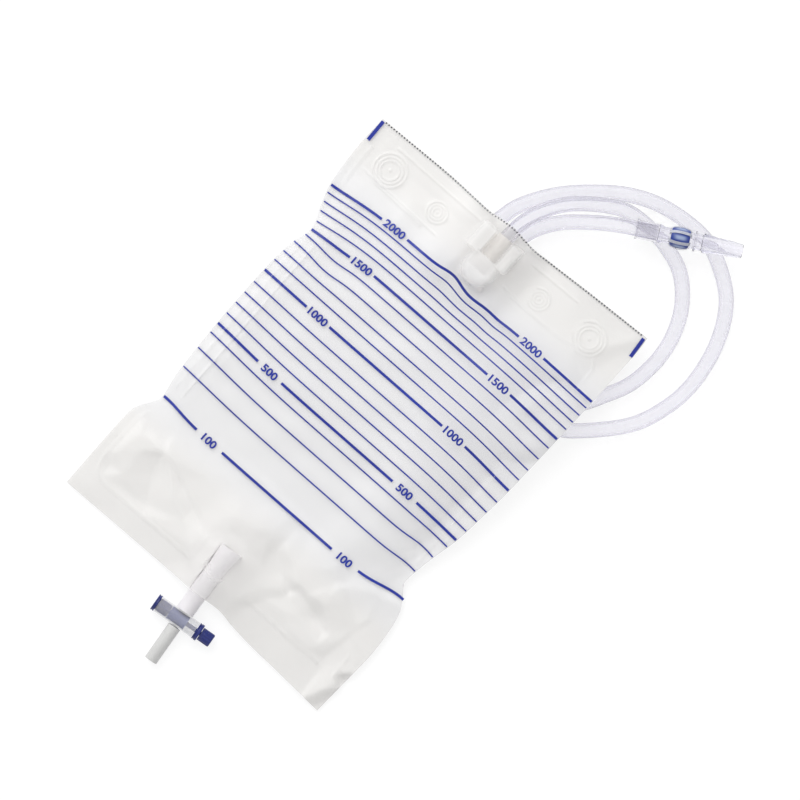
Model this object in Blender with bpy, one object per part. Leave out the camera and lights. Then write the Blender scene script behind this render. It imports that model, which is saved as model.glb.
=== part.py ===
"""Two-litre urine drainage bag, lying on its back.

The frame: +X across the bag, +Y towards its hanger end, +Z up out of the front sheet. The bag's own
coordinates are x, across from the middle line, and t, the distance down from the top edge: both sheets,
the ports, the valve and the tube's route are placed with them. All sizes are in metres.
"""

import math

import bmesh
import bpy
import numpy as np
from mathutils import Matrix, Vector

# Clearances
CLEAR = 0.0003  # between pieces that touch or are welded
RUN = 0.0003  # round the sliding plunger

# The pouch: two film sheets, welded together round the edge
BAG_LENGTH = 0.320
BAG_HALF_WIDTH = 0.1127
FILM = 0.0005
SIDE_WELD = 0.008
TOP_STRIP = 0.031  # hanger strip above the pouch, welded flat
BOTTOM_WELD = 0.0156
INFLATION = 0.007  # the little air left in the pouch
AIR_EASE = 0.055  # over which the pouch swells, in from its welds
AIR_HELD = 0.3  # share of the air that stays between the sheets where they are lifted most

# The sides as they lie: distance down from the top edge, share of the half width
LEFT_SIDE = [(0, 1.0), (0.17, 0.98), (0.27, 0.877), (0.30, 0.92), (0.40, 0.944), (0.55, 0.944),
             (0.72, 0.912), (0.75, 0.875), (0.775, 0.955), (0.82, 0.99), (1.0, 0.991)]
RIGHT_SIDE = [(0, 1.0), (0.16, 1.011), (0.27, 0.988), (0.41, 0.98), (0.56, 0.942), (0.66, 0.892),
              (0.70, 0.882), (0.73, 0.944), (0.83, 1.019), (0.91, 1.006), (1.0, 0.972)]
# The top and bottom edges: share of the half width, distance that the edge lies below its mean line
TOP_EDGE = [(-1.0, 0.0023), (-0.13, -0.0010), (0.13, 0.0024), (1.0, -0.0023)]
BOTTOM_EDGE = [(-1.0, -0.0015), (-0.04, -0.0023), (0.16, -0.0036), (0.69, 0.0012), (1.0, 0.0033)]

# The inlet tube, which lies in two loops
TUBE_OD = 0.010
TUBE_POINTS = 76
TUBE_GRIP = 0.0141  # how far its end reaches into the connector
TENT_TOP = 0.011  # how far to each side the film lies level over a tube
TENT_FALL = 0.050  # where it is down on the floor again

# The inlet port in the top weld
PORT_OD = 0.012
PORT_MOUTH = 0.008  # below the top edge
PORT_LENGTH = 0.023
PORT_SOCKET = 0.013  # how deep the tube goes in
PORT_BORE = 0.007
TAB_WIDTH = 0.007
TAB_LENGTH = 0.0145
TAB_THICK = 0.0012
TAB_START = 0.002  # from the port's mouth
TAB_LEVEL = 0.0027  # of the tab's underside, below the port's axis
TAB_BURIED = 0.0006  # how deep it runs into the port's wall
PORT_BULGE = 0.0276  # half the width over which the port lifts the front sheet
PORT_BULGE_END = 0.080
BULGE_FALL = 0.042  # length over which both bulges fall away into the pouch

# The anti-reflux sleeve, a film tube that is flattened at its lower end
SLEEVE_WALL = 0.0003
SLEEVE_GRIP = 0.005  # how far it is pulled over the port
SLEEVE_LENGTH = 0.020
SLEEVE_FLAT = 0.0016  # outside height of the flattened end

# The outlet tube, the valve and the spout share one axis
OUTLET_X = 0.0031  # where the valve's middle lies
VALVE_BELOW = 0.0176  # the valve's middle, below the bag's lower edge
VALVE_HEIGHT = 0.0065
OUTLET_TURN = math.radians(6.0)
OUTLET_RISE = math.radians(2.3)
OUTLET_OD = 0.0127
OUTLET_BORE = 0.0092
OUTLET_INSIDE = 0.020  # parallel part of the tube inside the bag
FLARE_LENGTH = 0.0194
FLARE_OD = 0.0154
FLARE_OFFSET = -0.0020  # the inner end's shift towards the left
OUTLET_BULGE = 0.0279
OUTLET_BULGE_REACH = 0.085  # up from the bag's lower edge

BARREL_OD = 0.0115
BARREL_BORE = 0.0100
BARREL_LEFT = 0.0172
BARREL_RIGHT = 0.0128
BARREL_LIP = 0.0006
CUT_PAST = 0.001  # how far a bore is cut past the end of its piece
INLET_SPIGOT = 0.017
OUTLET_SPIGOT = 0.014
DUCT_BORE = 0.0062
DRAIN_BORE = 0.0040

COLLAR_OD = 0.0120
COLLAR_LENGTH = 0.0033
COLLAR_BAND = 0.0008  # the ring before the groove
COLLAR_GROOVE = 0.0005
GROOVE_DEPTH = 0.0004
END_DISC_OD = 0.0120
END_DISC = 0.0023
STEM_WIDTH = 0.0088
STEM_RIB = 0.0012
ROD_OD = 0.0030
SEAL_LEFT = 0.0080
SEAL_RIGHT = 0.0055
SEAL_WAIST = 0.0088
KNOB_OD = 0.0093
KNOB_LENGTH = 0.0089
KNOB_RIBS = 12
KNOB_RIB = 0.0004
KNOB_CHAMFER = 0.0005

SPOUT_OD = 0.0090
SPOUT_BORE = 0.0062
SPOUT_END = 0.0334  # from the valve's middle

# The connector at the tube's end, and the sampling port on it
CONNECTOR_START = (0.0598, -0.0530)
CONNECTOR_END = (0.1223, -0.0876)
CONNECTOR_LENGTH = 0.0714
SOCKET_OD = 0.0124
SOCKET_RIM = 0.0136
RIM_LENGTH = 0.0015
SOCKET_LENGTH = 0.0165
SOCKET_DEPTH = 0.015
NECK_OD = 0.0105
SAMPLING_AT = 0.0295
SAMPLING_OD = 0.0138
SAMPLING_LENGTH = 0.0126
SAMPLING_SEAT = 0.0084
CAGE_OD = 0.0154  # clear ribs that hold the sampling sleeve
CAGE_LENGTH = 0.0146
CAGE_RIBS = 6
CAGE_RIB = 0.0021
CAGE_FOOT = 0.0005  # how deep a rib's ends run into the neck
FLANGE_AT = 0.0395
FLANGE_OD = 0.0136
FLANGE_THICK = 0.0012
NOZZLE_OD = 0.0109  # between the flange and the first barb
NOZZLE_BORE = 0.0064
# Where each barb is widest, its width there, and the width that it tapers to
BARBS = [(0.0453, 0.0134, 0.0106), (0.0559, 0.0112, 0.0103), (0.0616, 0.0109, 0.0092)]
BARB_STEP = 0.0008
NOZZLE_ROUND = 0.0006

ROUND_SIDES = 24

# The tube's route by hand: x, t, and how high its underside lies above the floor. It leaves the port, makes
# the inner loop, passes under the bag, makes the outer loop, passes under the bag again and comes to the
# connector, which rests on both loops.
ROUTE = [
    (0.0008, -0.0040, 0.0124), (0.0042, -0.0165, 0.0112), (0.0115, -0.0305, 0.0092),
    (0.0237, -0.0433, 0.0076), (0.0437, -0.0564, 0.0036), (0.0605, -0.0596, 0.0010),
    (0.0826, -0.0574, 0.0001), (0.1025, -0.0493, 0.0001), (0.1188, -0.0304, 0.0001),
    (0.1269, -0.0048, 0.0001), (0.1250, 0.0237, 0.0001), (0.1151, 0.0457, 0.0014),
    (0.1060, 0.0620, 0.0056), (0.0985, 0.0780, 0.0103), (0.0920, 0.0940, 0.0096),
    (0.0800, 0.1090, 0.0046), (0.0620, 0.1180, 0.0008), (0.0410, 0.1170, 0.0001),
    (0.0200, 0.1070, 0.0001), (0.0030, 0.0900, 0.0001), (-0.0090, 0.0670, 0.0001),
    (-0.0145, 0.0430, 0.0001), (-0.0140, 0.0200, 0.0001), (-0.0115, -0.0010, 0.0001),
    (-0.0070, -0.0160, 0.0001), (0.0060, -0.0360, 0.0001), (0.0233, -0.0533, 0.0001),
    (0.0430, -0.0677, 0.0001), (0.0665, -0.0767, 0.0001), (0.0968, -0.0785, 0.0001),
    (0.1190, -0.0699, 0.0001), (0.1374, -0.0549, 0.0001), (0.1499, -0.0308, 0.0001),
    (0.1550, -0.0020, 0.0001), (0.1521, 0.0226, 0.0001), (0.1415, 0.0472, 0.0001),
    (0.1173, 0.0732, 0.0001), (0.1040, 0.0810, 0.0001), (0.0880, 0.0855, 0.0001),
    (0.0710, 0.0850, 0.0001), (0.0540, 0.0805, 0.0001), (0.0370, 0.0720, 0.0001),
    (0.0220, 0.0590, 0.0001), (0.0120, 0.0440, 0.0001), (0.0070, 0.0270, 0.0001),
    (0.0068, 0.0100, 0.0001), (0.0090, -0.0060, 0.0006), (0.0200, -0.0235, 0.0036),
    (0.0386, -0.0395, 0.0095), (0.0524, -0.0488, 0.0119),
]
UNDER_BAG = 10  # the route's first points lie above the back sheet or clear of the bag

# Worked out from the sizes above
TUBE_R = TUBE_OD / 2
PORT_END = PORT_MOUTH + PORT_LENGTH
SLEEVE_R = PORT_OD / 2 + CLEAR + SLEEVE_WALL
BACK_OVER_TUBE = TUBE_OD + 2 * CLEAR
PORT_HEIGHT = BACK_OVER_TUBE + FILM + CLEAR + SLEEVE_R
CONNECTOR_HEIGHT = TUBE_OD + 2 * CLEAR + max(FLANGE_OD, *(width for _, width, _ in BARBS)) / 2
VALVE_T = BAG_LENGTH + VALVE_BELOW
TOP_REACH = -min(low for _, low in TOP_EDGE)
BOTTOM_REACH = VALVE_T + SPOUT_END * math.cos(OUTLET_TURN) + SPOUT_OD / 2 * math.sin(OUTLET_TURN)
TOP_Y = (BOTTOM_REACH - TOP_REACH) / 2  # so that the object's middle is the origin
WIDEST_LEFT = max(share for _, share in LEFT_SIDE) * BAG_HALF_WIDTH
WIDEST_RIGHT = max(share for _, share in RIGHT_SIDE) * BAG_HALF_WIDTH
MIDDLE_X = (WIDEST_LEFT - WIDEST_RIGHT) / 2


def at(x, t, z=0.0):
    """A place given in the bag's own coordinates."""
    return Vector((MIDDLE_X + x, TOP_Y - t, z))


def ease(share):
    """0 below 0, 1 above 1, and an even S between them."""
    share = np.clip(share, 0.0, 1.0)
    return share * share * (3 - 2 * share)


def smooth_curve(points, count):
    """count points, evenly spaced, on the Catmull-Rom curve through the given ones."""
    p = np.array(points, dtype=float)
    ends = np.concatenate([[2 * p[0] - p[1]], p, [2 * p[-1] - p[-2]]])
    s = np.linspace(0, 1, 24, endpoint=False)[:, None]
    parts = []
    for a, b, c, d in zip(ends, ends[1:], ends[2:], ends[3:]):
        parts.append(0.5 * (2 * b + (c - a) * s + (2 * a - 5 * b + 4 * c - d) * s ** 2
                            + (3 * b - a - 3 * c + d) * s ** 3))
    fine = np.concatenate(parts + [p[-1:]])
    along = np.concatenate([[0], np.cumsum(np.linalg.norm(np.diff(fine, axis=0), axis=1))])
    wanted = np.linspace(0, along[-1], count)
    return np.stack([np.interp(wanted, along, fine[:, k]) for k in range(p.shape[1])], axis=1)


def follow(table, value):
    """The smooth curve through a short table of (place, size), read at value."""
    fine = smooth_curve(table, 400)
    return np.interp(value, fine[:, 0], fine[:, 1])


def material(name, colour, roughness, transmission=0.0, alpha=1.0):
    made = bpy.data.materials.new(name)
    made.use_nodes = True
    shader = made.node_tree.nodes["Principled BSDF"]
    shader.inputs["Base Color"].default_value = (*colour, 1.0)
    shader.inputs["Roughness"].default_value = roughness
    shader.inputs["Metallic"].default_value = 0.0
    shader.inputs["Transmission Weight"].default_value = transmission
    shader.inputs["Alpha"].default_value = alpha
    made.diffuse_color = (*colour, alpha)
    return made


def add(name, mesh_data, finish, parent=None):
    """Link a finished bmesh as the named piece."""
    bmesh.ops.recalc_face_normals(mesh_data, faces=mesh_data.faces)
    mesh = bpy.data.meshes.new(name)
    mesh_data.to_mesh(mesh)
    mesh_data.free()
    mesh.materials.append(finish)
    mesh.shade_smooth()
    mesh.set_sharp_from_angle(angle=math.radians(35))
    piece = bpy.data.objects.new(name, mesh)
    bpy.context.collection.objects.link(piece)
    piece.parent = parent
    return piece


def turned(profile, sides=ROUND_SIDES, closed=True):
    """A solid turned about X from (place along X, radius) points. A closed profile makes a ring; an open one
    starts and ends on the axis."""
    made = bmesh.new()
    points = [made.verts.new((x, 0.0, radius)) for x, radius in profile]
    pairs = list(zip(points, points[1:]))
    if closed:
        pairs.append((points[-1], points[0]))
    edges = [made.edges.new(pair) for pair in pairs]
    bmesh.ops.spin(made, geom=points + edges, cent=(0, 0, 0), axis=(1, 0, 0), angle=2 * math.pi,
                   steps=sides, use_merge=True, use_duplicate=False)
    bmesh.ops.remove_doubles(made, verts=made.verts, dist=1e-7)
    return made


def block(low, high):
    made = bmesh.new()
    bmesh.ops.create_cube(made, size=1.0)
    size = Vector(high) - Vector(low)
    bmesh.ops.scale(made, vec=size, verts=made.verts)
    bmesh.ops.translate(made, vec=(Vector(high) + Vector(low)) / 2, verts=made.verts)
    return made


def shell(outer_rings, inner_rings):
    """A tube wall from matching rings of points, outside and inside, joined at both ends."""
    made = bmesh.new()
    walls = []
    for rings in (outer_rings, inner_rings):
        walls.append([[made.verts.new(point) for point in ring] for ring in rings])
    outer, inner = walls
    for rings in walls:
        for first, second in zip(rings, rings[1:]):
            bridge(made, first, second)
    bridge(made, outer[0], inner[0])
    bridge(made, outer[-1], inner[-1])
    return made


def bridge(made, first, second):
    """Quads between two closed rings of vertices."""
    for k in range(len(first)):
        n = (k + 1) % len(first)
        made.faces.new((first[k], first[n], second[n], second[k]))


def combine(piece, operation, other, frame=None):
    """Join a helper shape to a piece, or cut it out, with a live Boolean."""
    helper = add(f"{piece.name}_{operation.lower()}_{len(piece.modifiers)}", other, piece.active_material,
                 piece.parent)
    if frame is not None:
        helper.matrix_local = frame
    helper.hide_render = True
    helper.display_type = "WIRE"
    made = piece.modifiers.new(operation.title(), "BOOLEAN")
    made.operation = operation
    made.solver = "EXACT"
    made.object = helper


# The tube's centre line
def tube_line():
    """The route's smooth curve, from inside the port to inside the connector's socket, as x, t, z."""
    start = [(0.0, PORT_MOUTH + PORT_SOCKET, PORT_HEIGHT), (0.0, PORT_MOUTH, PORT_HEIGHT)]
    free = [(x, t, low + TUBE_R) for x, t, low in ROUTE]
    run = np.subtract(CONNECTOR_END, CONNECTOR_START)
    step = run / np.linalg.norm(run)
    inside = np.array(CONNECTOR_START) + step * TUBE_GRIP
    end = [(*CONNECTOR_START, CONNECTOR_HEIGHT), (*inside, CONNECTOR_HEIGHT)]
    return smooth_curve(start + free + end, TUBE_POINTS)


def hidden_line():
    """The stretches of tube that lie under the back sheet."""
    line = smooth_curve([(x, t, low + TUBE_OD) for x, t, low in ROUTE[UNDER_BAG:]], 400)
    x, t = line[:, 0], line[:, 1]
    inside = (x < side(RIGHT_SIDE, t)) & (x > -side(LEFT_SIDE, t)) & (t > -TUBE_R)
    return line[inside]


# The two sheets
def side(table, t):
    """How far the film's edge lies from the middle line at t."""
    return follow(table, t / BAG_LENGTH) * BAG_HALF_WIDTH


def film_places():
    """The grid of both sheets, as x and t: closer lines over the two ports."""
    near = np.linspace(0, 0.16, 5)
    far = np.linspace(0.16, 1, 10)[1:]
    across = np.concatenate([-far[::-1], -near[:0:-1], near, far])
    down = np.concatenate([np.linspace(0, 0.14, 9), np.linspace(0.14, 0.84, 19)[1:],
                           np.linspace(0.84, 1, 9)[1:]])
    u, v = np.meshgrid(across, down)
    top = follow(TOP_EDGE, u)
    bottom = BAG_LENGTH + follow(BOTTOM_EDGE, u)
    t = top + (bottom - top) * v
    half = np.where(u < 0, side(LEFT_SIDE, v * BAG_LENGTH), side(RIGHT_SIDE, v * BAG_LENGTH))
    return u * half, t


def back_height(x, t):
    """Underside of the back sheet. The film lies on the floor and is tented over the tube: each point of the
    tube lifts it to just over its own top, level for TENT_TOP and down again at TENT_FALL."""
    line = hidden_line()
    away = np.hypot(x[..., None] - line[:, 0], t[..., None] - line[:, 1])
    share = ease((TENT_FALL - away) / (TENT_FALL - TENT_TOP))
    return ((line[:, 2] + CLEAR) * share).max(axis=-1)


def outlet_axis(t):
    """Height of the outlet's axis, which rises into the bag."""
    return VALVE_HEIGHT + (VALVE_T - t) * math.tan(OUTLET_RISE)


def film_gap(x, t, back):
    """Space between the two sheets: none at the welds, a little air in the pouch, and a bulge over each
    port that falls away evenly to both sides."""
    weld_left = x + side(LEFT_SIDE, t) - SIDE_WELD
    weld_right = side(RIGHT_SIDE, t) - SIDE_WELD - x
    weld_top = t - TOP_STRIP
    weld_bottom = BAG_LENGTH - BOTTOM_WELD - t
    air = INFLATION * (1 - (1 - AIR_HELD) * back / BACK_OVER_TUBE)
    for inside in (weld_left, weld_right, weld_top, weld_bottom):
        air = air * ease(inside / AIR_EASE)
    port = 2 * SLEEVE_R + 5 * CLEAR
    port = port * ease(1 - np.abs(x) / PORT_BULGE) * ease((PORT_BULGE_END - t) / BULGE_FALL)
    tube_top = outlet_axis(t) + FLARE_OD / 2 + 2 * CLEAR
    outlet = tube_top * ease(1 - np.abs(x - OUTLET_X / 3) / OUTLET_BULGE)
    outlet = outlet * ease((t - (BAG_LENGTH - OUTLET_BULGE_REACH)) / BULGE_FALL)
    return CLEAR + np.maximum(np.maximum(air, port), outlet)


def sheet(name, x, t, under, finish):
    """A film from the height of its underside over the grid."""
    made = bmesh.new()
    rows, columns = x.shape
    layers = []
    for rise in (0.0, FILM):
        layers.append([[made.verts.new(at(x[r, c], t[r, c], under[r, c] + rise)) for c in range(columns)]
                       for r in range(rows)])
    for layer in layers:
        for r in range(rows - 1):
            for c in range(columns - 1):
                made.faces.new((layer[r][c], layer[r][c + 1], layer[r + 1][c + 1], layer[r + 1][c]))
    rims = []
    for layer in layers:
        rims.append(layer[0] + [row[-1] for row in layer[1:]] + layer[-1][-2::-1]
                    + [row[0] for row in layer[-2:0:-1]])
    bridge(made, *rims)
    return add(name, made, finish)


def make_sheets(film, printed_film):
    x, t = film_places()
    under = back_height(x, t)
    sheet("back_sheet", x, t, under, film)
    sheet("front_sheet", x, t, under + FILM + film_gap(x, t, under), printed_film)


# The inlet
def make_port(finish):
    """The port's turned tube and its two weld tabs, which lie level with its underside."""
    frame = bpy.data.objects.new("port_frame", None)
    bpy.context.collection.objects.link(frame)
    frame.location = at(0, PORT_MOUTH, PORT_HEIGHT)
    frame.rotation_euler = (0, 0, math.radians(-90))
    outside, socket, bore = PORT_OD / 2, TUBE_R + CLEAR, PORT_BORE / 2
    step = PORT_SOCKET + CLEAR
    port = add("inlet_port", turned([(0, outside), (PORT_LENGTH, outside), (PORT_LENGTH, bore), (step, bore),
                                     (step, socket), (0, socket)]), finish, frame)
    near, far = outside - TAB_BURIED, outside + TAB_WIDTH
    for way in (-1, 1):
        low = (TAB_START, min(way * near, way * far), -TAB_LEVEL)
        high = (TAB_START + TAB_LENGTH, max(way * near, way * far), TAB_THICK - TAB_LEVEL)
        combine(port, "UNION", block(low, high))


def make_sleeve(finish):
    """Film sleeve that starts round over the port and is flattened where it ends."""
    turns = np.linspace(0, 2 * math.pi, ROUND_SIDES, endpoint=False)
    flat_half = math.pi * SLEEVE_R / 2 * 0.98
    walls = ([], [])
    for share in np.linspace(0, 1, 9):
        t = PORT_END - SLEEVE_GRIP + share * SLEEVE_LENGTH
        closing = float(ease((share * SLEEVE_LENGTH - SLEEVE_GRIP) / (SLEEVE_LENGTH - SLEEVE_GRIP)))
        wide = SLEEVE_R + (flat_half - SLEEVE_R) * closing
        high = SLEEVE_R + (SLEEVE_FLAT / 2 - SLEEVE_R) * closing
        middle = PORT_HEIGHT + (high - SLEEVE_R) * 0.8
        for wall, inset in zip(walls, (0.0, SLEEVE_WALL)):
            wall.append([at((wide - inset) * math.cos(a), t, middle + (high - inset) * math.sin(a))
                         for a in turns])
    add("reflux_sleeve", shell(*walls), finish)


def make_tube(finish):
    """The inlet tube as a plain round cord."""
    curve = bpy.data.curves.new("inlet_tube", "CURVE")
    curve.dimensions = "3D"
    curve.bevel_depth = TUBE_R
    curve.bevel_resolution = 4
    curve.use_fill_caps = True
    curve.render_resolution_u = 0
    line = tube_line()
    spline = curve.splines.new("POLY")
    spline.points.add(len(line) - 1)
    for point, (x, t, z) in zip(spline.points, line):
        point.co = (*at(x, t, z), 1.0)
    curve.materials.append(finish)
    bpy.context.collection.objects.link(bpy.data.objects.new("inlet_tube", curve))


# The connector
def connector_frame():
    """An empty at the socket's mouth, with X along the connector."""
    frame = bpy.data.objects.new("connector_frame", None)
    bpy.context.collection.objects.link(frame)
    (x0, t0), (x1, t1) = CONNECTOR_START, CONNECTOR_END
    frame.location = at(x0, t0, CONNECTOR_HEIGHT)
    frame.rotation_euler = (0, 0, math.atan2(t0 - t1, x1 - x0))
    return frame


def cage_rib():
    """One rib of the cage: a plate between two arcs over the sampling sleeve, its feet in the neck."""
    neck = NECK_OD / 2
    foot = neck - CAGE_FOOT
    outer, inner = CAGE_LENGTH / 2, SAMPLING_LENGTH / 2 + 1.5 * CLEAR
    turns = np.linspace(-math.pi / 2, math.pi / 2, 9)
    over = [(SAMPLING_AT + outer * math.sin(a), foot + (CAGE_OD / 2 - foot) * math.cos(a)) for a in turns]
    under = [(SAMPLING_AT + inner * math.sin(a), neck + (SAMPLING_OD / 2 + CLEAR - neck) * math.cos(a))
             for a in turns[::-1]]
    outline = over + [(under[0][0], foot)] + under + [(under[-1][0], foot)]
    made = bmesh.new()
    face = made.faces.new([made.verts.new((x, -CAGE_RIB / 2, z)) for x, z in outline])
    out = bmesh.ops.extrude_face_region(made, geom=[face])
    moved = [v for v in out["geom"] if isinstance(v, bmesh.types.BMVert)]
    bmesh.ops.translate(made, vec=(0, CAGE_RIB, 0), verts=moved)
    return made


def make_connector(clear_plastic, blue_rubber):
    """Socket, neck, flange and nozzle as one turned body, with the ribbed cage over the blue sleeve."""
    frame = connector_frame()
    neck, seat = NECK_OD / 2, SAMPLING_SEAT / 2
    left = SAMPLING_AT - SAMPLING_LENGTH / 2 - CLEAR
    right = SAMPLING_AT + SAMPLING_LENGTH / 2 + CLEAR
    flange = FLANGE_THICK / 2
    outside = [(0, SOCKET_RIM / 2), (RIM_LENGTH, SOCKET_RIM / 2), (RIM_LENGTH, SOCKET_OD / 2),
               (SOCKET_LENGTH, SOCKET_OD / 2), (SOCKET_LENGTH + RIM_LENGTH, neck), (left, neck), (left, seat),
               (right, seat), (right, neck), (FLANGE_AT - flange, neck), (FLANGE_AT - flange, FLANGE_OD / 2),
               (FLANGE_AT + flange, FLANGE_OD / 2), (FLANGE_AT + flange, NOZZLE_OD / 2)]
    foot = NOZZLE_OD
    for place, width, taper in BARBS:
        outside += [(place - BARB_STEP, foot / 2), (place, width / 2)]
        foot = taper
    outside += [(CONNECTOR_LENGTH - NOZZLE_ROUND, foot / 2), (CONNECTOR_LENGTH, foot / 2 - NOZZLE_ROUND)]
    socket = TUBE_R + CLEAR
    inside = [(CONNECTOR_LENGTH, NOZZLE_BORE / 2), (SOCKET_DEPTH, NOZZLE_BORE / 2), (SOCKET_DEPTH, socket),
              (0, socket)]
    body = add("connector_body", turned(outside + inside), clear_plastic, frame)
    for k in range(CAGE_RIBS):
        combine(body, "UNION", cage_rib(), Matrix.Rotation((k + 0.5) * 2 * math.pi / CAGE_RIBS, 4, "X"))
    half = SAMPLING_LENGTH / 2
    bulge = [(SAMPLING_AT + half * math.sin(a), neck + (SAMPLING_OD / 2 - neck) * math.cos(a))
             for a in np.linspace(-math.pi / 2, math.pi / 2, 9)]
    hole = [(SAMPLING_AT + half, seat + CLEAR), (SAMPLING_AT - half, seat + CLEAR)]
    add("sampling_sleeve", turned(bulge + hole), blue_rubber, frame)


# The outlet
def outlet_frame():
    """An empty at the valve's middle: X along the barrel to its knob, Y up the outlet tube."""
    frame = bpy.data.objects.new("outlet_frame", None)
    bpy.context.collection.objects.link(frame)
    frame.location = at(OUTLET_X, VALVE_T, VALVE_HEIGHT)
    frame.rotation_euler = (OUTLET_RISE, 0, OUTLET_TURN)
    return frame


def make_outlet_tube(finish, frame):
    """The outlet tube, from the barrel into the bag, where its end is flared and bends back to the bag's
    middle line."""
    start = BARREL_OD / 2 + CLEAR
    parallel = VALVE_BELOW + OUTLET_INSIDE
    end = parallel + FLARE_LENGTH
    turns = np.linspace(0, 2 * math.pi, ROUND_SIDES, endpoint=False)
    stations = [start, start + 0.35 * (parallel - start), start + 0.7 * (parallel - start), parallel,
                parallel + FLARE_LENGTH / 3, parallel + FLARE_LENGTH * 2 / 3, end]
    walls = ([], [])
    for y in stations:
        shift = -FLARE_OFFSET * ((y - start) / (end - start)) ** 2
        widen = (FLARE_OD - OUTLET_OD) / 2 * float(ease((y - parallel) / FLARE_LENGTH))
        for wall, width in zip(walls, (OUTLET_OD, OUTLET_BORE)):
            radius = width / 2 + widen
            wall.append([(shift + radius * math.cos(a), y, radius * math.sin(a)) for a in turns])
    add("outlet_tube", shell(*walls), finish, frame)


def make_valve_body(finish, frame):
    """Barrel along X, with a spigot up into the outlet tube and one down into the spout."""
    outside, bore = BARREL_OD / 2, BARREL_BORE / 2
    lip = outside + BARREL_LIP / 2
    barrel = turned([(-BARREL_LEFT, 0), (-BARREL_LEFT, lip), (BARREL_LIP - BARREL_LEFT, lip),
                     (BARREL_LIP - BARREL_LEFT, outside), (BARREL_RIGHT - BARREL_LIP, outside),
                     (BARREL_RIGHT - BARREL_LIP, lip), (BARREL_RIGHT, lip), (BARREL_RIGHT, 0)], closed=False)
    body = add("valve_body", barrel, finish, frame)
    up = Matrix.Rotation(math.radians(90), 4, "Z")
    down = Matrix.Rotation(math.radians(-90), 4, "Z")
    reach = outside / 2
    upper, lower = OUTLET_BORE / 2 - CLEAR, SPOUT_BORE / 2 - CLEAR
    for frame_there, length, radius in ((up, INLET_SPIGOT, upper), (down, OUTLET_SPIGOT, lower)):
        combine(body, "UNION", turned([(reach, 0), (reach, radius), (length, radius), (length, 0)],
                                      closed=False), frame_there)
    combine(body, "DIFFERENCE", turned([(-BARREL_LEFT - CUT_PAST, 0), (-BARREL_LEFT - CUT_PAST, bore),
                                        (BARREL_RIGHT + CUT_PAST, bore), (BARREL_RIGHT + CUT_PAST, 0)],
                                       closed=False))
    half_side = Matrix.Rotation(math.pi / ROUND_SIDES, 4, "X")
    for frame_there, length, radius in ((up, INLET_SPIGOT, DUCT_BORE / 2), (down, OUTLET_SPIGOT, DRAIN_BORE / 2)):
        combine(body, "DIFFERENCE", turned([(reach, 0), (reach, radius), (length + CUT_PAST, radius),
                                            (length + CUT_PAST, 0)], closed=False), frame_there @ half_side)


def make_collar(finish, frame):
    """Ring at the barrel's right end, with a groove round it, wide enough for the knob to enter."""
    start = BARREL_RIGHT + CLEAR
    end = start + COLLAR_LENGTH
    outside, hole = COLLAR_OD / 2, BARREL_BORE / 2
    groove = start + COLLAR_BAND
    band = groove + COLLAR_GROOVE
    add("valve_collar", turned([(start, outside), (groove, outside), (groove, outside - GROOVE_DEPTH),
                                (band, outside - GROOVE_DEPTH), (band, outside), (end, outside), (end, hole),
                                (start, hole)]), finish, frame)


def make_plunger(finish, rubber, frame):
    """End disc, cross-shaped stem, rod and knob in one moulding, which slides along X."""
    slide = bpy.data.objects.new("plunger_slide", None)
    bpy.context.collection.objects.link(slide)
    slide.parent = frame
    disc_face = -BARREL_LEFT - CLEAR
    disc_back = disc_face - END_DISC
    disc, rod, groove = END_DISC_OD / 2, ROD_OD / 2, GROOVE_DEPTH
    knob_start = BARREL_RIGHT + CLEAR + COLLAR_LENGTH + CLEAR
    third = END_DISC / 3
    core = turned([(disc_back, 0), (disc_back, disc), (disc_back + third, disc), (disc_back + third, disc - groove),
                   (disc_face - third, disc - groove), (disc_face - third, disc), (disc_face, disc),
                   (disc_face, rod), (knob_start + CLEAR, rod), (knob_start + CLEAR, 0)], closed=False)
    plunger = add("valve_plunger", core, finish, slide)
    stem_end = -SEAL_LEFT - CLEAR
    for wide, thick in ((STEM_WIDTH, STEM_RIB), (STEM_RIB, STEM_WIDTH)):
        combine(plunger, "UNION", block((disc_face - CLEAR, -wide / 2, -thick / 2),
                                        (stem_end, wide / 2, thick / 2)))
    combine(plunger, "UNION", ribbed_knob(knob_start))
    waist = SEAL_WAIST / 2
    lip = BARREL_BORE / 2 - RUN
    hole = rod + CLEAR
    middle = (SEAL_RIGHT - SEAL_LEFT) / 2
    half = (SEAL_RIGHT + SEAL_LEFT) / 2
    saddle = [(middle + half * share, waist + (lip - waist) * share ** 2) for share in np.linspace(-1, 1, 9)]
    add("plunger_seal", turned(saddle + [(SEAL_RIGHT, hole), (-SEAL_LEFT, hole)]), rubber, slide)


def ribbed_knob(start):
    """The push knob: a short cylinder with ribs along it and a chamfered end."""
    section = []
    for k in range(4 * KNOB_RIBS):
        radius = KNOB_OD / 2 - (KNOB_RIB if k % 4 > 1 else 0)
        angle = 2 * math.pi * k / (4 * KNOB_RIBS)
        section.append((radius * math.cos(angle), radius * math.sin(angle)))
    end = start + KNOB_LENGTH
    made = bmesh.new()
    rings = []
    for x, share in ((start, 1.0), (end - KNOB_CHAMFER, 1.0), (end, 1 - 2 * KNOB_CHAMFER / KNOB_OD)):
        rings.append([made.verts.new((x, share * y, share * z)) for y, z in section])
    for first, second in zip(rings, rings[1:]):
        bridge(made, first, second)
    made.faces.new(rings[0])
    made.faces.new(rings[-1])
    return made


def make_spout(finish, frame):
    """Drain tube below the valve, open at its end."""
    start, outside, bore = BARREL_OD / 2 + CLEAR, SPOUT_OD / 2, SPOUT_BORE / 2
    spout = add("drain_spout", turned([(start, outside), (SPOUT_END, outside), (SPOUT_END, bore),
                                       (start, bore)]), finish, frame)
    spout.rotation_euler = (0, 0, math.radians(-90))


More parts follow.
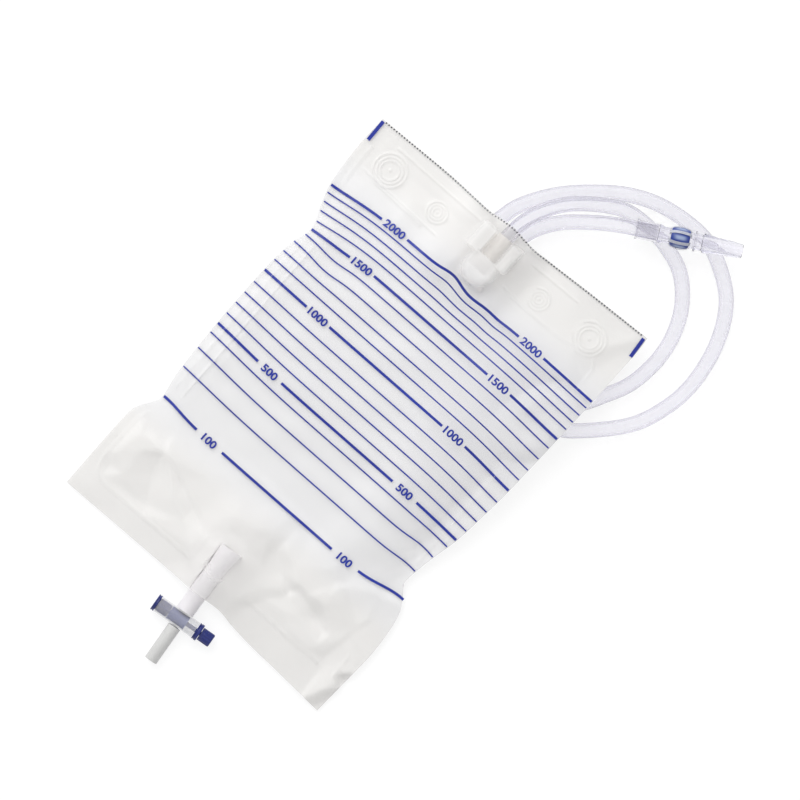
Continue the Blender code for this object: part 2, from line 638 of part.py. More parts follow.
def main():
    for old in list(bpy.data.objects):
        bpy.data.objects.remove(old, do_unlink=True)
    film = material("milky_film", (0.88, 0.88, 0.87), 0.35, transmission=0.3)
    printed_film = material("printed_film", (0.90, 0.90, 0.90), 0.35, transmission=0.3)
    thin_film = material("sleeve_film", (0.82, 0.80, 0.76), 0.3, transmission=0.4)
    soft_clear = material("soft_clear_pvc", (0.86, 0.85, 0.90), 0.2, transmission=0.6)
    port_plastic = material("port_pvc", (0.80, 0.77, 0.72), 0.35, transmission=0.3)
    clear_plastic = material("clear_plastic", (0.90, 0.90, 0.92), 0.1, transmission=0.8)
    spout_pvc = material("spout_pvc", (0.88, 0.88, 0.88), 0.35, transmission=0.4)
    blue_plastic = material("blue_plastic", (0.01, 0.03, 0.30), 0.3)
    blue_rubber = material("blue_rubber", (0.02, 0.08, 0.36), 0.45)
    make_sheets(film, printed_film)
    make_port(port_plastic)
    make_sleeve(thin_film)
    make_tube(soft_clear)
    make_connector(clear_plastic, blue_rubber)
    frame = outlet_frame()
    make_outlet_tube(soft_clear, frame)
    make_valve_body(clear_plastic, frame)
    make_collar(blue_plastic, frame)
    make_plunger(blue_plastic, blue_rubber, frame)
    make_spout(spout_pvc, frame)


main()
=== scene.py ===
# %% [markdown]
# # A urine drainage bag, dressed for the camera
#
# The bag is two sheets of milky film welded together, with a moulded port at the top, a soft tube that lies
# in two loops, and a push-pull valve at the bottom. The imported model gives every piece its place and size.
# This script gives every piece its surface: each is a grid of points worked out with numpy.

# %% Load the frame
import math

import bmesh
import bpy
import numpy as np
from mathutils import Matrix, Vector
from mathutils.geometry import delaunay_2d_cdt


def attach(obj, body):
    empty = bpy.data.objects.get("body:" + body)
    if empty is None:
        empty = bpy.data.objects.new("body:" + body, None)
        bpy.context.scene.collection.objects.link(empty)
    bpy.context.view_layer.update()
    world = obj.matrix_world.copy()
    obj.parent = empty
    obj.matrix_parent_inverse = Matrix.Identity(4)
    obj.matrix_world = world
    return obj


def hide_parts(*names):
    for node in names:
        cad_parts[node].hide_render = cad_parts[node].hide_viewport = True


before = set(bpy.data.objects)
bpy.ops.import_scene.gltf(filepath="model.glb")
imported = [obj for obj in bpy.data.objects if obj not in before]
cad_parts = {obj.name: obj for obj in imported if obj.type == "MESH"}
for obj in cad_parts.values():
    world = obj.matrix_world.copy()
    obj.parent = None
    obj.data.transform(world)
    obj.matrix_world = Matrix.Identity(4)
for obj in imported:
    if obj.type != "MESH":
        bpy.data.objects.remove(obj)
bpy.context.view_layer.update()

# %% [markdown]
# ## The bag's own coordinates
#
# A maker measures a bag from its middle line and from its top edge. So each place here is x, the distance
# across from the middle line, and t, the distance down from the top edge, in metres. One function turns
# them into the frame of the model.

# %% Bag coordinates
BAG_LENGTH = 0.320
BAG_HALF_WIDTH = 0.1127
MIDDLE_X = -0.00107
TOP_Y = 0.18449


def at(x, t, z=0.0):
    """Points of the frame from the bag's coordinates: X = middle + x, Y = top - t, Z = z."""
    x, t, z = np.broadcast_arrays(np.asarray(x, float), np.asarray(t, float), np.asarray(z, float))
    return np.stack([MIDDLE_X + x, TOP_Y - t, z], axis=-1)


print("the bag's top left corner:", at(-BAG_HALF_WIDTH, 0).round(4))

# %% [markdown]
# ## The camera
#
# The photograph looks straight down on the bag, which lies turned on a white table. A long lens far above
# keeps the scale even over the whole bag. The camera turns instead of the bag.

# %% Camera
VIEW_TURN = math.radians(41.2)
VIEW_WIDTH = 0.5271  # of the table, from the left to the right side of the picture
VIEW_MIDDLE = (0.0162, 0.0507)
LENS = 300.0
SENSOR = 36.0

camera_data = bpy.data.cameras.new("camera")
camera_data.lens = LENS
camera_data.sensor_width = SENSOR
camera = bpy.data.objects.new("camera", camera_data)
bpy.context.collection.objects.link(camera)
camera_height = VIEW_WIDTH * LENS / SENSOR
camera.location = (*VIEW_MIDDLE, camera_height)
camera.rotation_euler = (0.0, 0.0, VIEW_TURN)
camera_data.clip_end = 4 * camera_height
bpy.context.scene.camera = camera
print(f"camera {camera_height:.2f} m above the table")

# %% [markdown]
# ## Small tools
#
# A few helpers carry the whole script. One is an even S between 0 and 1, and two more place it between
# chosen values. One is a smooth curve through a few chosen points, evenly spaced along its length. The last
# reads a short table of places and sizes through that same curve.

# %% Curves and easing


def ease(share):
    """0 below 0, 1 above 1, and between them 3 s^2 - 2 s^3."""
    share = np.clip(share, 0.0, 1.0)
    return share * share * (3 - 2 * share)


def fades(value, start, end):
    """0 up to start, 1 from end on, and an even S between them. end may be the smaller of the two."""
    return ease((value - start) / (end - start))


def within(value, rise, fall):
    """1 inside a stretch and 0 outside it. rise and fall are its two ends: in each pair the place where it is
    0 comes first, and the place where it is 1 second."""
    return fades(value, *rise) * fades(value, *fall)


def smooth_curve(points, count, fineness=24):
    """count points, evenly spaced, on the Catmull-Rom curve through the given ones: each stretch is a cubic
    through two neighbours that takes its direction from the points before and after them."""
    p = np.array(points, dtype=float)
    ends = np.concatenate([[2 * p[0] - p[1]], p, [2 * p[-1] - p[-2]]])
    a, b, c, d = (ends[k:len(ends) - 3 + k, None, :] for k in range(4))
    s = np.linspace(0, 1, fineness, endpoint=False)[None, :, None]
    square, cube = 2 * a - 5 * b + 4 * c - d, 3 * b - a - 3 * c + d
    fine = 0.5 * (2 * b + (c - a) * s + square * s ** 2 + cube * s ** 3)
    fine = np.concatenate([fine.reshape(-1, p.shape[1]), p[-1:]])
    along = np.concatenate([[0], np.cumsum(np.linalg.norm(np.diff(fine, axis=0), axis=1))])
    wanted = np.linspace(0, along[-1], count)
    return np.stack([np.interp(wanted, along, fine[:, k]) for k in range(p.shape[1])], axis=1)


def follow(table, value):
    """The smooth curve through a short table of (place, size), read at value."""
    fine = smooth_curve(table, 400)
    return np.interp(value, fine[:, 0], fine[:, 1])


print("ease of a half:", float(ease(0.5)))

# %% [markdown]
# ## From points to a mesh
#
# Nearly every surface here is a grid: rows of points along the piece, columns round it or across it. Faces
# are then plain index arithmetic. A grid can close round its columns, as a tube does, and along its rows
# too, as the wall of a ring does. Rows that shrink to a point are merged into one vertex, so that a solid
# end is closed.

# %% Mesh tools


def grid_faces(rows, columns, around=False, loop=False):
    """Corner numbers of the quads of a grid. around joins the last column to the first, loop the last row."""
    r = np.arange(rows if loop else rows - 1)[:, None]
    c = np.arange(columns if around else columns - 1)[None, :]
    r_next, c_next = (r + 1) % rows, (c + 1) % columns
    quads = [r * columns + c, r * columns + c_next, r_next * columns + c_next, r_next * columns + c]
    return np.stack(np.broadcast_arrays(*quads), axis=-1).reshape(-1, 4)


def mesh_from(name, points, quads, triangles=None):
    """A mesh from arrays of points and corner numbers."""
    triangles = np.empty((0, 3), int) if triangles is None else triangles
    corners = np.concatenate([quads.ravel(), triangles.ravel()])
    starts = np.concatenate([np.arange(len(quads)) * 4, len(quads) * 4 + np.arange(len(triangles)) * 3])
    mesh = bpy.data.meshes.new(name)
    mesh.vertices.add(len(points))
    mesh.vertices.foreach_set("co", np.ascontiguousarray(points, dtype=np.float32).ravel())
    mesh.loops.add(len(corners))
    mesh.loops.foreach_set("vertex_index", corners.astype(np.int32))
    mesh.polygons.add(len(starts))
    mesh.polygons.foreach_set("loop_start", starts.astype(np.int32))
    mesh.update(calc_edges=True)
    mesh.validate()
    return mesh


def dress(name, shape, finish, body="bag", instead_of=(), sharp=40.0, merge=False):
    """The shape as a named piece of the bag: faces turned outwards, smooth shading with sharp edges, its
    material, the body that it rides on, and the imported parts that it hides. merge closes the poles."""
    mesh = mesh_from(name, *shape)
    work = bmesh.new()
    work.from_mesh(mesh)
    if merge:
        bmesh.ops.remove_doubles(work, verts=work.verts, dist=1e-7)
    bmesh.ops.recalc_face_normals(work, faces=work.faces)
    work.to_mesh(mesh)
    work.free()
    mesh.materials.append(finishes[finish])
    mesh.shade_smooth()
    mesh.set_sharp_from_angle(angle=math.radians(sharp))
    made = bpy.data.objects.new(name, mesh)
    bpy.context.collection.objects.link(made)
    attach(made, body)
    if instead_of:
        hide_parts(*instead_of)
    print(f"{name}: {len(mesh.vertices)} points, {len(mesh.polygons)} faces")
    return made


def join(shapes):
    """Several (points, faces) as one."""
    counts = np.cumsum([0] + [len(points) for points, _ in shapes[:-1]])
    faces = [faces + count for (_, faces), count in zip(shapes, counts)]
    return np.concatenate([points for points, _ in shapes]), np.concatenate(faces)


# %% [markdown]
# ## Turned shapes and rounded corners
#
# Ports, barrels, caps and connectors are moulded round an axis. Each is a profile, points of (place along
# the axis, radius), carried once round. A mould never leaves a razor edge, so the corners of the profile
# are rounded first: each corner is swapped for a short curve between the two points that lie a little way
# before and after it.

# %% Turned shapes
NEAREST = 0.45  # how far towards the next corner the rounding may reach


def placed(local, place):
    """Points (x, y, z, 1) of a place's own axes, in the frame."""
    return (local @ np.array(place).T)[..., :3].reshape(-1, 3)


def rounded(profile, radius, closed=True, steps=4):
    """The profile with each corner P replaced by the quadratic curve (1-s)^2 A + 2s(1-s) P + s^2 B. A and B
    lie radius before and after P, or the share NEAREST of the way to the next corner if that is less."""
    p = np.array(profile, float)
    before, after = np.roll(p, 1, axis=0) - p, np.roll(p, -1, axis=0) - p
    reach_before = np.linalg.norm(before, axis=1, keepdims=True)
    reach_after = np.linalg.norm(after, axis=1, keepdims=True)
    a = p + before * np.minimum(radius / np.maximum(reach_before, 1e-9), NEAREST)
    b = p + after * np.minimum(radius / np.maximum(reach_after, 1e-9), NEAREST)
    if not closed:
        a[0] = b[0] = p[0]
        a[-1] = b[-1] = p[-1]
    s = np.linspace(0, 1, steps)[None, :, None]
    curve = (1 - s) ** 2 * a[:, None] + 2 * s * (1 - s) * p[:, None] + s ** 2 * b[:, None]
    return curve.reshape(-1, 2)


def turned(profile, place, sides=64, closed=True, squeeze=None):
    """Points and faces of a profile turned about the X axis of a place (a 4 by 4 matrix). Each point is
    (x, r cos a, r sin a). squeeze, if given, changes r by the angle and x."""
    profile = np.asarray(profile, float)
    angle = np.linspace(0, 2 * math.pi, sides, endpoint=False)
    x, r = np.broadcast_arrays(profile[:, :1], profile[:, 1:] * np.ones(sides))
    if squeeze is not None:
        r = squeeze(x, r, angle[None, :])
    local = np.stack([x, r * np.cos(angle), r * np.sin(angle), np.ones_like(r)], axis=-1)
    return placed(local, place), grid_faces(len(profile), sides, around=True, loop=closed)


def place_at(origin, turn=0.0, rise=0.0):
    """A place whose X axis is turned about Z, on a base that is tilted about its own X first."""
    shift = Matrix.Translation(Vector(origin))
    return np.array(shift @ Matrix.Rotation(turn, 4, "Z") @ Matrix.Rotation(rise, 4, "X"))


print("a rounded square has", len(rounded([(0, 0), (1, 0), (1, 1), (0, 1)], 0.1)), "points")

# %% [markdown]
# ## Finishes
#
# All the plastics share one recipe. The base colour drifts a little between two tones, as a batch of
# plastic does; the roughness varies with a finer noise, because handling leaves some places duller; and a
# very small bump gives the surface its moulded or calendered skin. What differs is the clearness. Both
# sheets are milky film. The back one is drawn as white film and the front one as nearly clear, so what lies
# between them shows through and the two together look as milky as the pouch does. The tube and the hard
# plastic of the connector are clear: light passes through them and loses a little on its way, which makes
# their edges darker. The valve's barrel is drawn nearly clear in the way of the front sheet.

# %% Nodes of a material


def node(tree, kind, inputs, **settings):
    """A new node of this kind. settings are its own properties. Each input gets a plain value, or is linked
    to the output that is given for it."""
    made = tree.nodes.new("ShaderNode" + kind)
    for name, value in settings.items():
        setattr(made, name, value)
    for name, value in inputs.items():
        if isinstance(value, bpy.types.NodeSocket):
            tree.links.new(value, made.inputs[name])
        else:
            made.inputs[name].default_value = value
    return made


def mixed(tree, share, first, second):
    """The colour between two others, at a share of the way."""
    return node(tree, "Mix", {"Factor": share, "A": first, "B": second}, data_type="RGBA").outputs["Result"]


def plastic(name, tone, other_tone, patch, roughness, dull, grain, relief, sockets):
    """A Principled material. patch and grain are the sizes in metres of the colour patches and of the fine
    skin; relief is the depth of the skin; sockets are set on the shader as they are."""
    made = bpy.data.materials.new(name)
    made.use_nodes = True
    tree = made.node_tree
    shader = tree.nodes["Principled BSDF"]
    for socket, value in sockets.items():
        shader.inputs[socket].default_value = value
    where = tree.nodes.new("ShaderNodeTexCoord").outputs["Object"]
    drift = node(tree, "TexNoise", {"Vector": where, "Scale": 1 / patch, "Detail": 3.0}).outputs["Fac"]
    skin = node(tree, "TexNoise", {"Vector": where, "Scale": 1 / grain, "Detail": 4.0}).outputs["Fac"]
    spread = node(tree, "MapRange", {"Value": skin, "To Min": roughness, "To Max": dull})
    bump = node(tree, "Bump", {"Height": skin, "Strength": 1.0, "Distance": relief})
    tree.links.new(mixed(tree, drift, (*tone, 1.0), (*other_tone, 1.0)), shader.inputs["Base Color"])
    tree.links.new(spread.outputs["Result"], shader.inputs["Roughness"])
    tree.links.new(bump.outputs["Normal"], shader.inputs["Normal"])
    return made


print("a node is made, set and linked in one call")

# %% Plastic finishes
FINISHES = {
    # two tones; size of the patches, roughness from and to, size and depth of the skin; the shader's sockets
    "white_film": ((0.945, 0.934, 0.922), (0.915, 0.905, 0.890),
                   0.050, 0.50, 0.62, 0.0012, 0.00003, {"IOR": 1.45}),
    "clear_film": ((0.960, 0.950, 0.940), (0.930, 0.922, 0.912),
                   0.050, 0.36, 0.50, 0.0012, 0.00003, {"Alpha": 0.17, "IOR": 1.45}),
    "sleeve_film": ((0.92, 0.89, 0.88), (0.86, 0.83, 0.82),
                    0.010, 0.35, 0.50, 0.0010, 0.00002, {"IOR": 1.45}),
    "soft_clear_pvc": ((1.0, 1.0, 1.0), (0.98, 0.98, 0.99),
                       0.030, 0.22, 0.30, 0.0030, 0.0, {"Transmission Weight": 1.0, "IOR": 1.22}),
    "clear_plastic": ((0.96, 0.955, 0.975), (0.94, 0.935, 0.96),
                      0.010, 0.05, 0.10, 0.0020, 0.0, {"Transmission Weight": 1.0, "IOR": 1.4}),
    "barrel_plastic": ((0.93, 0.93, 0.96), (0.88, 0.88, 0.92),
                       0.006, 0.06, 0.12, 0.0010, 0.0, {"Alpha": 0.20, "IOR": 1.5}),
    "outlet_pvc": ((0.95, 0.915, 0.95), (0.90, 0.865, 0.905),
                   0.008, 0.24, 0.34, 0.0010, 0.00002,
                   {"IOR": 1.45, "Subsurface Weight": 0.3, "Subsurface Scale": 0.005,
                    "Subsurface Radius": (1.0, 0.95, 1.0)}),
    "port_pvc": ((0.97, 0.925, 0.88), (0.90, 0.86, 0.82),
                 0.008, 0.30, 0.45, 0.0010, 0.00002, {"Alpha": 0.85, "IOR": 1.45}),
    "spout_pvc": ((0.80, 0.80, 0.79), (0.72, 0.72, 0.71),
                  0.012, 0.30, 0.45, 0.0010, 0.00002, {"Alpha": 0.85, "IOR": 1.5}),
    "blue_plastic": ((0.004, 0.012, 0.135), (0.008, 0.022, 0.20),
                     0.004, 0.22, 0.34, 0.0006, 0.00001, {"IOR": 1.5}),
    "sampling_rubber": ((0.010, 0.035, 0.26), (0.020, 0.055, 0.33),
                        0.003, 0.25, 0.40, 0.0004, 0.00001, {"IOR": 1.5}),
    "rib_plastic": ((0.85, 0.87, 0.93), (0.78, 0.80, 0.88),
                    0.004, 0.10, 0.18, 0.0010, 0.0, {"Transmission Weight": 0.5, "IOR": 1.4}),
    "blue_rubber": ((0.006, 0.030, 0.20), (0.010, 0.045, 0.27),
                    0.004, 0.32, 0.48, 0.0004, 0.00001, {"IOR": 1.5}),
    "blue_ink": ((0.004, 0.008, 0.22), (0.006, 0.035, 0.40),
                 0.050, 0.30, 0.42, 0.0010, 0.00001, {"IOR": 1.5}),
    "grey_ink": ((0.02, 0.02, 0.03), (0.05, 0.05, 0.07),
                 0.004, 0.35, 0.45, 0.0010, 0.00001, {"IOR": 1.5}),
}
finishes = {name: plastic(name, *row) for name, row in FINISHES.items()}
print("finishes:", ", ".join(finishes))

# %% Changes to a finish
PRINTED = (-0.055, 0.135)  # world Y, from the lowest to the topmost printed line
PRINT_FADE = 0.025
WINDOW_HIGHLIGHT_BLUE = (0.34, 0.42, 0.62)
MILKY_ALPHA = 0.70


def absorb(name, colour, density):
    """Light that passes through the material takes on its colour: more where its way is longer."""
    tree = finishes[name].node_tree
    volume = node(tree, "VolumeAbsorption", {"Color": (*colour, 1.0), "Density": density})
    tree.links.new(volume.outputs["Volume"], tree.nodes["Material Output"].inputs["Volume"])


def toned(tree, share, colour):
    """The material's colour turns to another one by a share that its nodes work out."""
    base = tree.nodes["Principled BSDF"].inputs["Base Color"]
    tree.links.new(mixed(tree, share, base.links[0].from_socket, (*colour, 1.0)), base)


def cooler_between(name, cool, low, high, fade):
    """Between two heights of the picture, low and high in world Y, the colour turns to a cooler one. fade is
    how far the change takes."""
    tree = finishes[name].node_tree
    where = tree.nodes.new("ShaderNodeTexCoord").outputs["Object"]
    height = node(tree, "SeparateXYZ", {"Vector": where}).outputs["Y"]
    above, below = (node(tree, "MapRange", {"Value": height, "From Min": start, "From Max": end},
                         interpolation_type="SMOOTHSTEP").outputs["Result"]
                    for start, end in ((low - fade, low), (high + fade, high)))
    toned(tree, node(tree, "Math", {0: above, 1: below}, operation="MULTIPLY").outputs[0], cool)


def by_attribute(tree, name):
    """The piece's own attribute of this name, 0 to 1."""
    return node(tree, "Attribute", {}, attribute_name=name).outputs["Fac"]


absorb("soft_clear_pvc", (0.72, 0.70, 0.82), 105.0)
absorb("clear_plastic", (0.74, 0.74, 0.83), 75.0)
cooler_between("white_film", (0.930, 0.927, 0.930), *PRINTED, PRINT_FADE)
cooler_between("clear_film", (0.945, 0.943, 0.948), *PRINTED, PRINT_FADE)
# The sampling rubber turns paler in the middle of each window: a painted highlight, while the darker rubber
# round it stands in for the ribs' shade.
rubber_tree = finishes["sampling_rubber"].node_tree
toned(rubber_tree, by_attribute(rubber_tree, "window"), WINDOW_HIGHLIGHT_BLUE)
film_tree = finishes["clear_film"].node_tree
clearness = film_tree.nodes["Principled BSDF"].inputs["Alpha"]
milky_spread = node(film_tree, "MapRange", {"Value": by_attribute(film_tree, "milky"),
                                            "To Min": clearness.default_value, "To Max": MILKY_ALPHA})
film_tree.links.new(milky_spread.outputs["Result"], clearness)
print("the film is", clearness.default_value, "opaque, and", MILKY_ALPHA, "where it is milky")

# %% [markdown]
# ## The inlet tube
#
# The tube is a free cord: 1.1 metres of soft clear tube, 10 mm thick outside, on one smooth route. It leaves
# the port, makes the inner loop, passes under the bag, makes the outer loop, passes under the bag again and
# comes to the connector. The route's points are listed as x, t and the height of the tube's underside. The
# tube is a round profile carried along the route, outside and inside, and both walls are joined at the
# ends.

# %% Route of the tube
TUBE_R = 0.005
TUBE_WALL = 0.0016
PORT_MOUTH = 0.008
PORT_SOCKET = 0.013
PORT_HEIGHT = 0.0180
CONNECTOR_START = (0.0598, -0.0530)
CONNECTOR_END = (0.1223, -0.0876)
CONNECTOR_HEIGHT = 0.0174
SOCKET_STOP = 0.0141
ROUTE = [
    (0.0008, -0.0040, 0.0124), (0.0042, -0.0165, 0.0112), (0.0115, -0.0305, 0.0092),
    (0.0237, -0.0433, 0.0076), (0.0437, -0.0564, 0.0036), (0.0605, -0.0596, 0.0010),
    (0.0826, -0.0574, 0.0001), (0.1025, -0.0493, 0.0001), (0.1188, -0.0304, 0.0001),
    (0.1269, -0.0048, 0.0001), (0.1250, 0.0237, 0.0001), (0.1151, 0.0457, 0.0014),
    (0.1060, 0.0620, 0.0056), (0.0985, 0.0780, 0.0103), (0.0920, 0.0940, 0.0096),
    (0.0800, 0.1090, 0.0046), (0.0620, 0.1180, 0.0008), (0.0410, 0.1170, 0.0001),
    (0.0200, 0.1070, 0.0001), (0.0030, 0.0900, 0.0001), (-0.0090, 0.0670, 0.0001),
    (-0.0145, 0.0430, 0.0001), (-0.0140, 0.0200, 0.0001), (-0.0115, -0.0010, 0.0001),
    (-0.0070, -0.0160, 0.0001), (0.0060, -0.0360, 0.0001), (0.0233, -0.0533, 0.0001),
    (0.0430, -0.0677, 0.0001), (0.0665, -0.0767, 0.0001), (0.0968, -0.0785, 0.0001),
    (0.1190, -0.0699, 0.0001), (0.1374, -0.0549, 0.0001), (0.1499, -0.0308, 0.0001),
    (0.1550, -0.0020, 0.0001), (0.1521, 0.0226, 0.0001), (0.1415, 0.0472, 0.0001),
    (0.1173, 0.0732, 0.0001), (0.1040, 0.0810, 0.0001), (0.0880, 0.0855, 0.0001),
    (0.0710, 0.0850, 0.0001), (0.0540, 0.0805, 0.0001), (0.0370, 0.0720, 0.0001),
    (0.0220, 0.0590, 0.0001), (0.0120, 0.0440, 0.0001), (0.0070, 0.0270, 0.0001),
    (0.0068, 0.0100, 0.0001), (0.0090, -0.0060, 0.0006), (0.0200, -0.0235, 0.0036),
    (0.0386, -0.0395, 0.0095), (0.0524, -0.0488, 0.0119),
]
UNDER_BAG = 10  # the route's first points lie above the back sheet or clear of the bag


def tube_line(count):
    """The route's smooth curve, from inside the port to inside the connector's socket, as x, t, z."""
    start = [(0.0, PORT_MOUTH + PORT_SOCKET, PORT_HEIGHT), (0.0, PORT_MOUTH, PORT_HEIGHT)]
    free = [(x, t, low + TUBE_R) for x, t, low in ROUTE]
    run = np.subtract(CONNECTOR_END, CONNECTOR_START)
    inside = np.array(CONNECTOR_START) + run / np.linalg.norm(run) * SOCKET_STOP
    end = [(*CONNECTOR_START, CONNECTOR_HEIGHT), (*inside, CONNECTOR_HEIGHT)]
    return smooth_curve(start + free + end, count)


centre = at(*tube_line(520).T)

# %% Tube mesh


def carried(line, radius, sides=28):
    """Rings of a round profile carried along a line that lies nearly flat: each point is the line's point
    plus r cos a times the level side direction plus r sin a times the direction that is square to both."""
    along = np.gradient(line, axis=0)
    along /= np.linalg.norm(along, axis=1, keepdims=True)
    level = np.cross([0.0, 0.0, 1.0], along)
    level /= np.linalg.norm(level, axis=1, keepdims=True)
    upright = np.cross(along, level)
    angle = np.linspace(0, 2 * math.pi, sides, endpoint=False)[None, :, None]
    radius = np.broadcast_to(np.asarray(radius, float), len(line))[:, None, None]
    return line[:, None] + radius * (np.cos(angle) * level[:, None] + np.sin(angle) * upright[:, None])


def hollow(outer, inner):
    """One closed wall from rings outside and rings inside: out along the one and back along the other."""
    rings = np.concatenate([outer, inner[::-1]])
    return rings.reshape(-1, 3), grid_faces(len(rings), rings.shape[1], around=True, loop=True)


tube_shape = hollow(carried(centre, TUBE_R), carried(centre, TUBE_R - TUBE_WALL))
inlet_tube = dress("inlet_hose", tube_shape, "soft_clear_pvc", instead_of=["inlet_tube"])

# %% [markdown]
# ## Where the film lies
#
# Both sheets are one grid seen twice. The grid runs across the bag and down it, and its sides follow the
# real outline, which is drawn in where the bag narrows at its two waists. The sheets lie on the table and
# are lifted like a tent over the hidden loops of the tube.

# %% Outline of the sheets
FILM = 0.0005
CLEAR = 0.0003
TENT_TOP = 0.011
TENT_FALL = 0.050
LEFT_SIDE = [(0, 1.005), (0.08, 1.010), (0.17, 0.988), (0.22, 0.945), (0.265, 0.900), (0.29, 0.906),
             (0.32, 0.932), (0.40, 0.949), (0.55, 0.949), (0.68, 0.930), (0.735, 0.905), (0.76, 0.935),
             (0.785, 0.978), (0.82, 0.996), (1.0, 0.998)]
RIGHT_SIDE = [(0, 1.003), (0.05, 1.010), (0.16, 1.006), (0.27, 0.996), (0.41, 0.982), (0.50, 0.962),
              (0.56, 0.942), (0.61, 0.910), (0.65, 0.888), (0.690, 0.876), (0.705, 0.904), (0.725, 0.945),
              (0.745, 0.973), (0.78, 0.994), (0.84, 1.007), (0.91, 0.999), (0.95, 0.992), (1.0, 0.985)]
TOP_EDGE = [(-1.0, 0.0018), (-0.62, 0.0006), (-0.45, 0.0004), (-0.30, 0.0010), (-0.18, 0.0014),
            (-0.09, 0.0004), (0.0, -0.0002), (0.09, 0.0008), (0.18, 0.0014), (0.27, 0.0007),
            (0.40, -0.0002), (0.62, -0.0017), (1.0, -0.0038)]
BOTTOM_EDGE = [(-1.0, -0.0010), (-0.30, -0.0018), (-0.04, -0.0023), (0.16, -0.0036), (0.29, -0.0014),
               (0.45, 0.0004), (0.69, 0.0016), (1.0, 0.0036)]


def side(table, t):
    """How far the film's edge lies from the middle line at t."""
    return follow(table, t / BAG_LENGTH) * BAG_HALF_WIDTH


def spaced(stretches):
    """Places from 0 on, from a list of (where a stretch ends, distance between places in it)."""
    ends = np.array([0.0] + [end for end, _ in stretches])
    runs = [np.linspace(a, b, max(2, round((b - a) / gap)), endpoint=False)
            for a, b, (_, gap) in zip(ends, ends[1:], stretches)]
    return np.concatenate(runs + [ends[-1:]])


def sheet_places(across, down):
    """x and t of a grid over the bag: across is the share of the half width, down the share of the length
    between the top and the bottom edge."""
    u, v = np.meshgrid(across, down)
    top = follow(TOP_EDGE, u)
    bottom = BAG_LENGTH + follow(BOTTOM_EDGE, u)
    half = np.where(u < 0, side(LEFT_SIDE, v * BAG_LENGTH), side(RIGHT_SIDE, v * BAG_LENGTH))
    return u * half, top + (bottom - top) * v


upper_waist = float(side(LEFT_SIDE, 0.0864))
print("the left side is drawn in to", round(upper_waist * 1000, 1), "mm at the upper waist")

# %% The tent over the tube


def hidden_line():
    """The stretches of tube that lie under the back sheet, as x, t and the height of their tops."""
    line = smooth_curve([(x, t, low + 2 * TUBE_R) for x, t, low in ROUTE[UNDER_BAG:]], 400)
    x, t = line[:, 0], line[:, 1]
    return line[(x < side(RIGHT_SIDE, t)) & (x > -side(LEFT_SIDE, t)) & (t > -TUBE_R)]


def tented(x, t):
    """Underside of the back sheet: the highest that any hidden point of the tube lifts it. A point lifts the
    film to its own top out to TENT_TOP, and along an even S down to the table at TENT_FALL."""
    lifted = np.zeros_like(x)
    for block in np.array_split(hidden_line(), 8):
        away = np.hypot(x[..., None] - block[:, 0], t[..., None] - block[:, 1])
        share = ease((TENT_FALL - away) / (TENT_FALL - TENT_TOP))
        lifted = np.maximum(lifted, ((block[:, 2] + CLEAR) * share).max(axis=-1))
    return lifted


peak = tented(np.array([0.10]), np.array([0.08]))
print("over the crossing near the right side the film is lifted to", (peak * 1000).round(1), "mm")

# %% [markdown]
# ## How the pouch spans the tube
#
# The film is far too stiff to drape closely round the tube. It rests on the highest crossing, under its
# right side, and spans from there in long straight slopes to the left weld and to the bottom. Past the
# crossing it falls a little to the right weld. Short tables give that shape as shares of its height, one
# across the bag and one down it. A small pair of tables adds the fold along the welds.

# %% The span
SPAN_HEIGHT = 0.0225
SPAN_ACROSS = [(-0.118, 0.0), (-0.106, 0.012), (-0.100, 0.055), (-0.090, 0.13), (-0.075, 0.23),
               (-0.045, 0.42), (0.0, 0.66), (0.030, 0.83), (0.052, 0.965), (0.060, 1.0), (0.068, 1.0),
               (0.082, 0.965), (0.096, 0.93), (0.118, 0.93)]
SPAN_DOWN = [(-0.008, 0.52), (0.020, 0.58), (0.045, 0.79), (0.065, 0.95), (0.085, 1.0), (0.105, 0.97),
             (0.130, 0.83), (0.160, 0.62), (0.200, 0.36), (0.235, 0.17), (0.260, 0.09), (0.290, 0.04),
             (0.328, 0.0)]
FOLD_ACROSS = [(-0.118, 0.0), (-0.106, 0.0), (-0.099, 0.0012), (-0.091, 0.0016), (-0.070, 0.0008),
               (-0.020, 0.0), (0.025, 0.0), (0.045, 0.0022), (0.056, 0.0030), (0.063, 0.0028),
               (0.071, 0.0022), (0.079, 0.0013), (0.086, 0.0001), (0.0905, -0.0008), (0.095, -0.0010),
               (0.104, -0.0004), (0.118, -0.0004)]
FOLD_DOWN = [(0.036, 0.0), (0.056, 0.7), (0.075, 1.0), (0.160, 1.0), (0.205, 0.95), (0.230, 0.6),
             (0.262, 0.15), (0.290, 0.0)]
PORT_OD = 0.012
SLEEVE_R = 0.0066
PORT_BULGE_END = 0.080
OUTLET_X = 0.0031
OUTLET_OD = 0.0127
FLARE_OD = 0.0154
VALVE_T = 0.3376
VALVE_HEIGHT = 0.0065
OUTLET_RISE = math.radians(2.3)
OUTLET_TURN = math.radians(6.0)
OUTLET_BULGE_REACH = 0.085
BULGE_FALL = 0.042
PAIR_GAP = 0.0008  # between the sheets inside the pouch
# Over a port and at the film's edge: half the width of the level stretch, and the width of the fall beside it
LEVEL = {"port": 0.0125, "outlet": 0.0075, "edge": 0.0065}
FALL = {"port": 0.0300, "outlet": 0.0240, "edge": 0.0130}
TOP_WELD = (0.008, 0.002)  # t where the weld at the top edge begins to hold the film, and holds it
LOWER_WELD = (0.300, 0.310)


def span(x, t):
    """Height of the sheets over the table: the span's share across the bag times its share down it."""
    return np.maximum(SPAN_HEIGHT * follow(SPAN_ACROSS, x) * follow(SPAN_DOWN, t), 0)


def fold(x, t):
    """What the fold along the welds adds to that height."""
    return follow(FOLD_ACROSS, x) * follow(FOLD_DOWN, t)


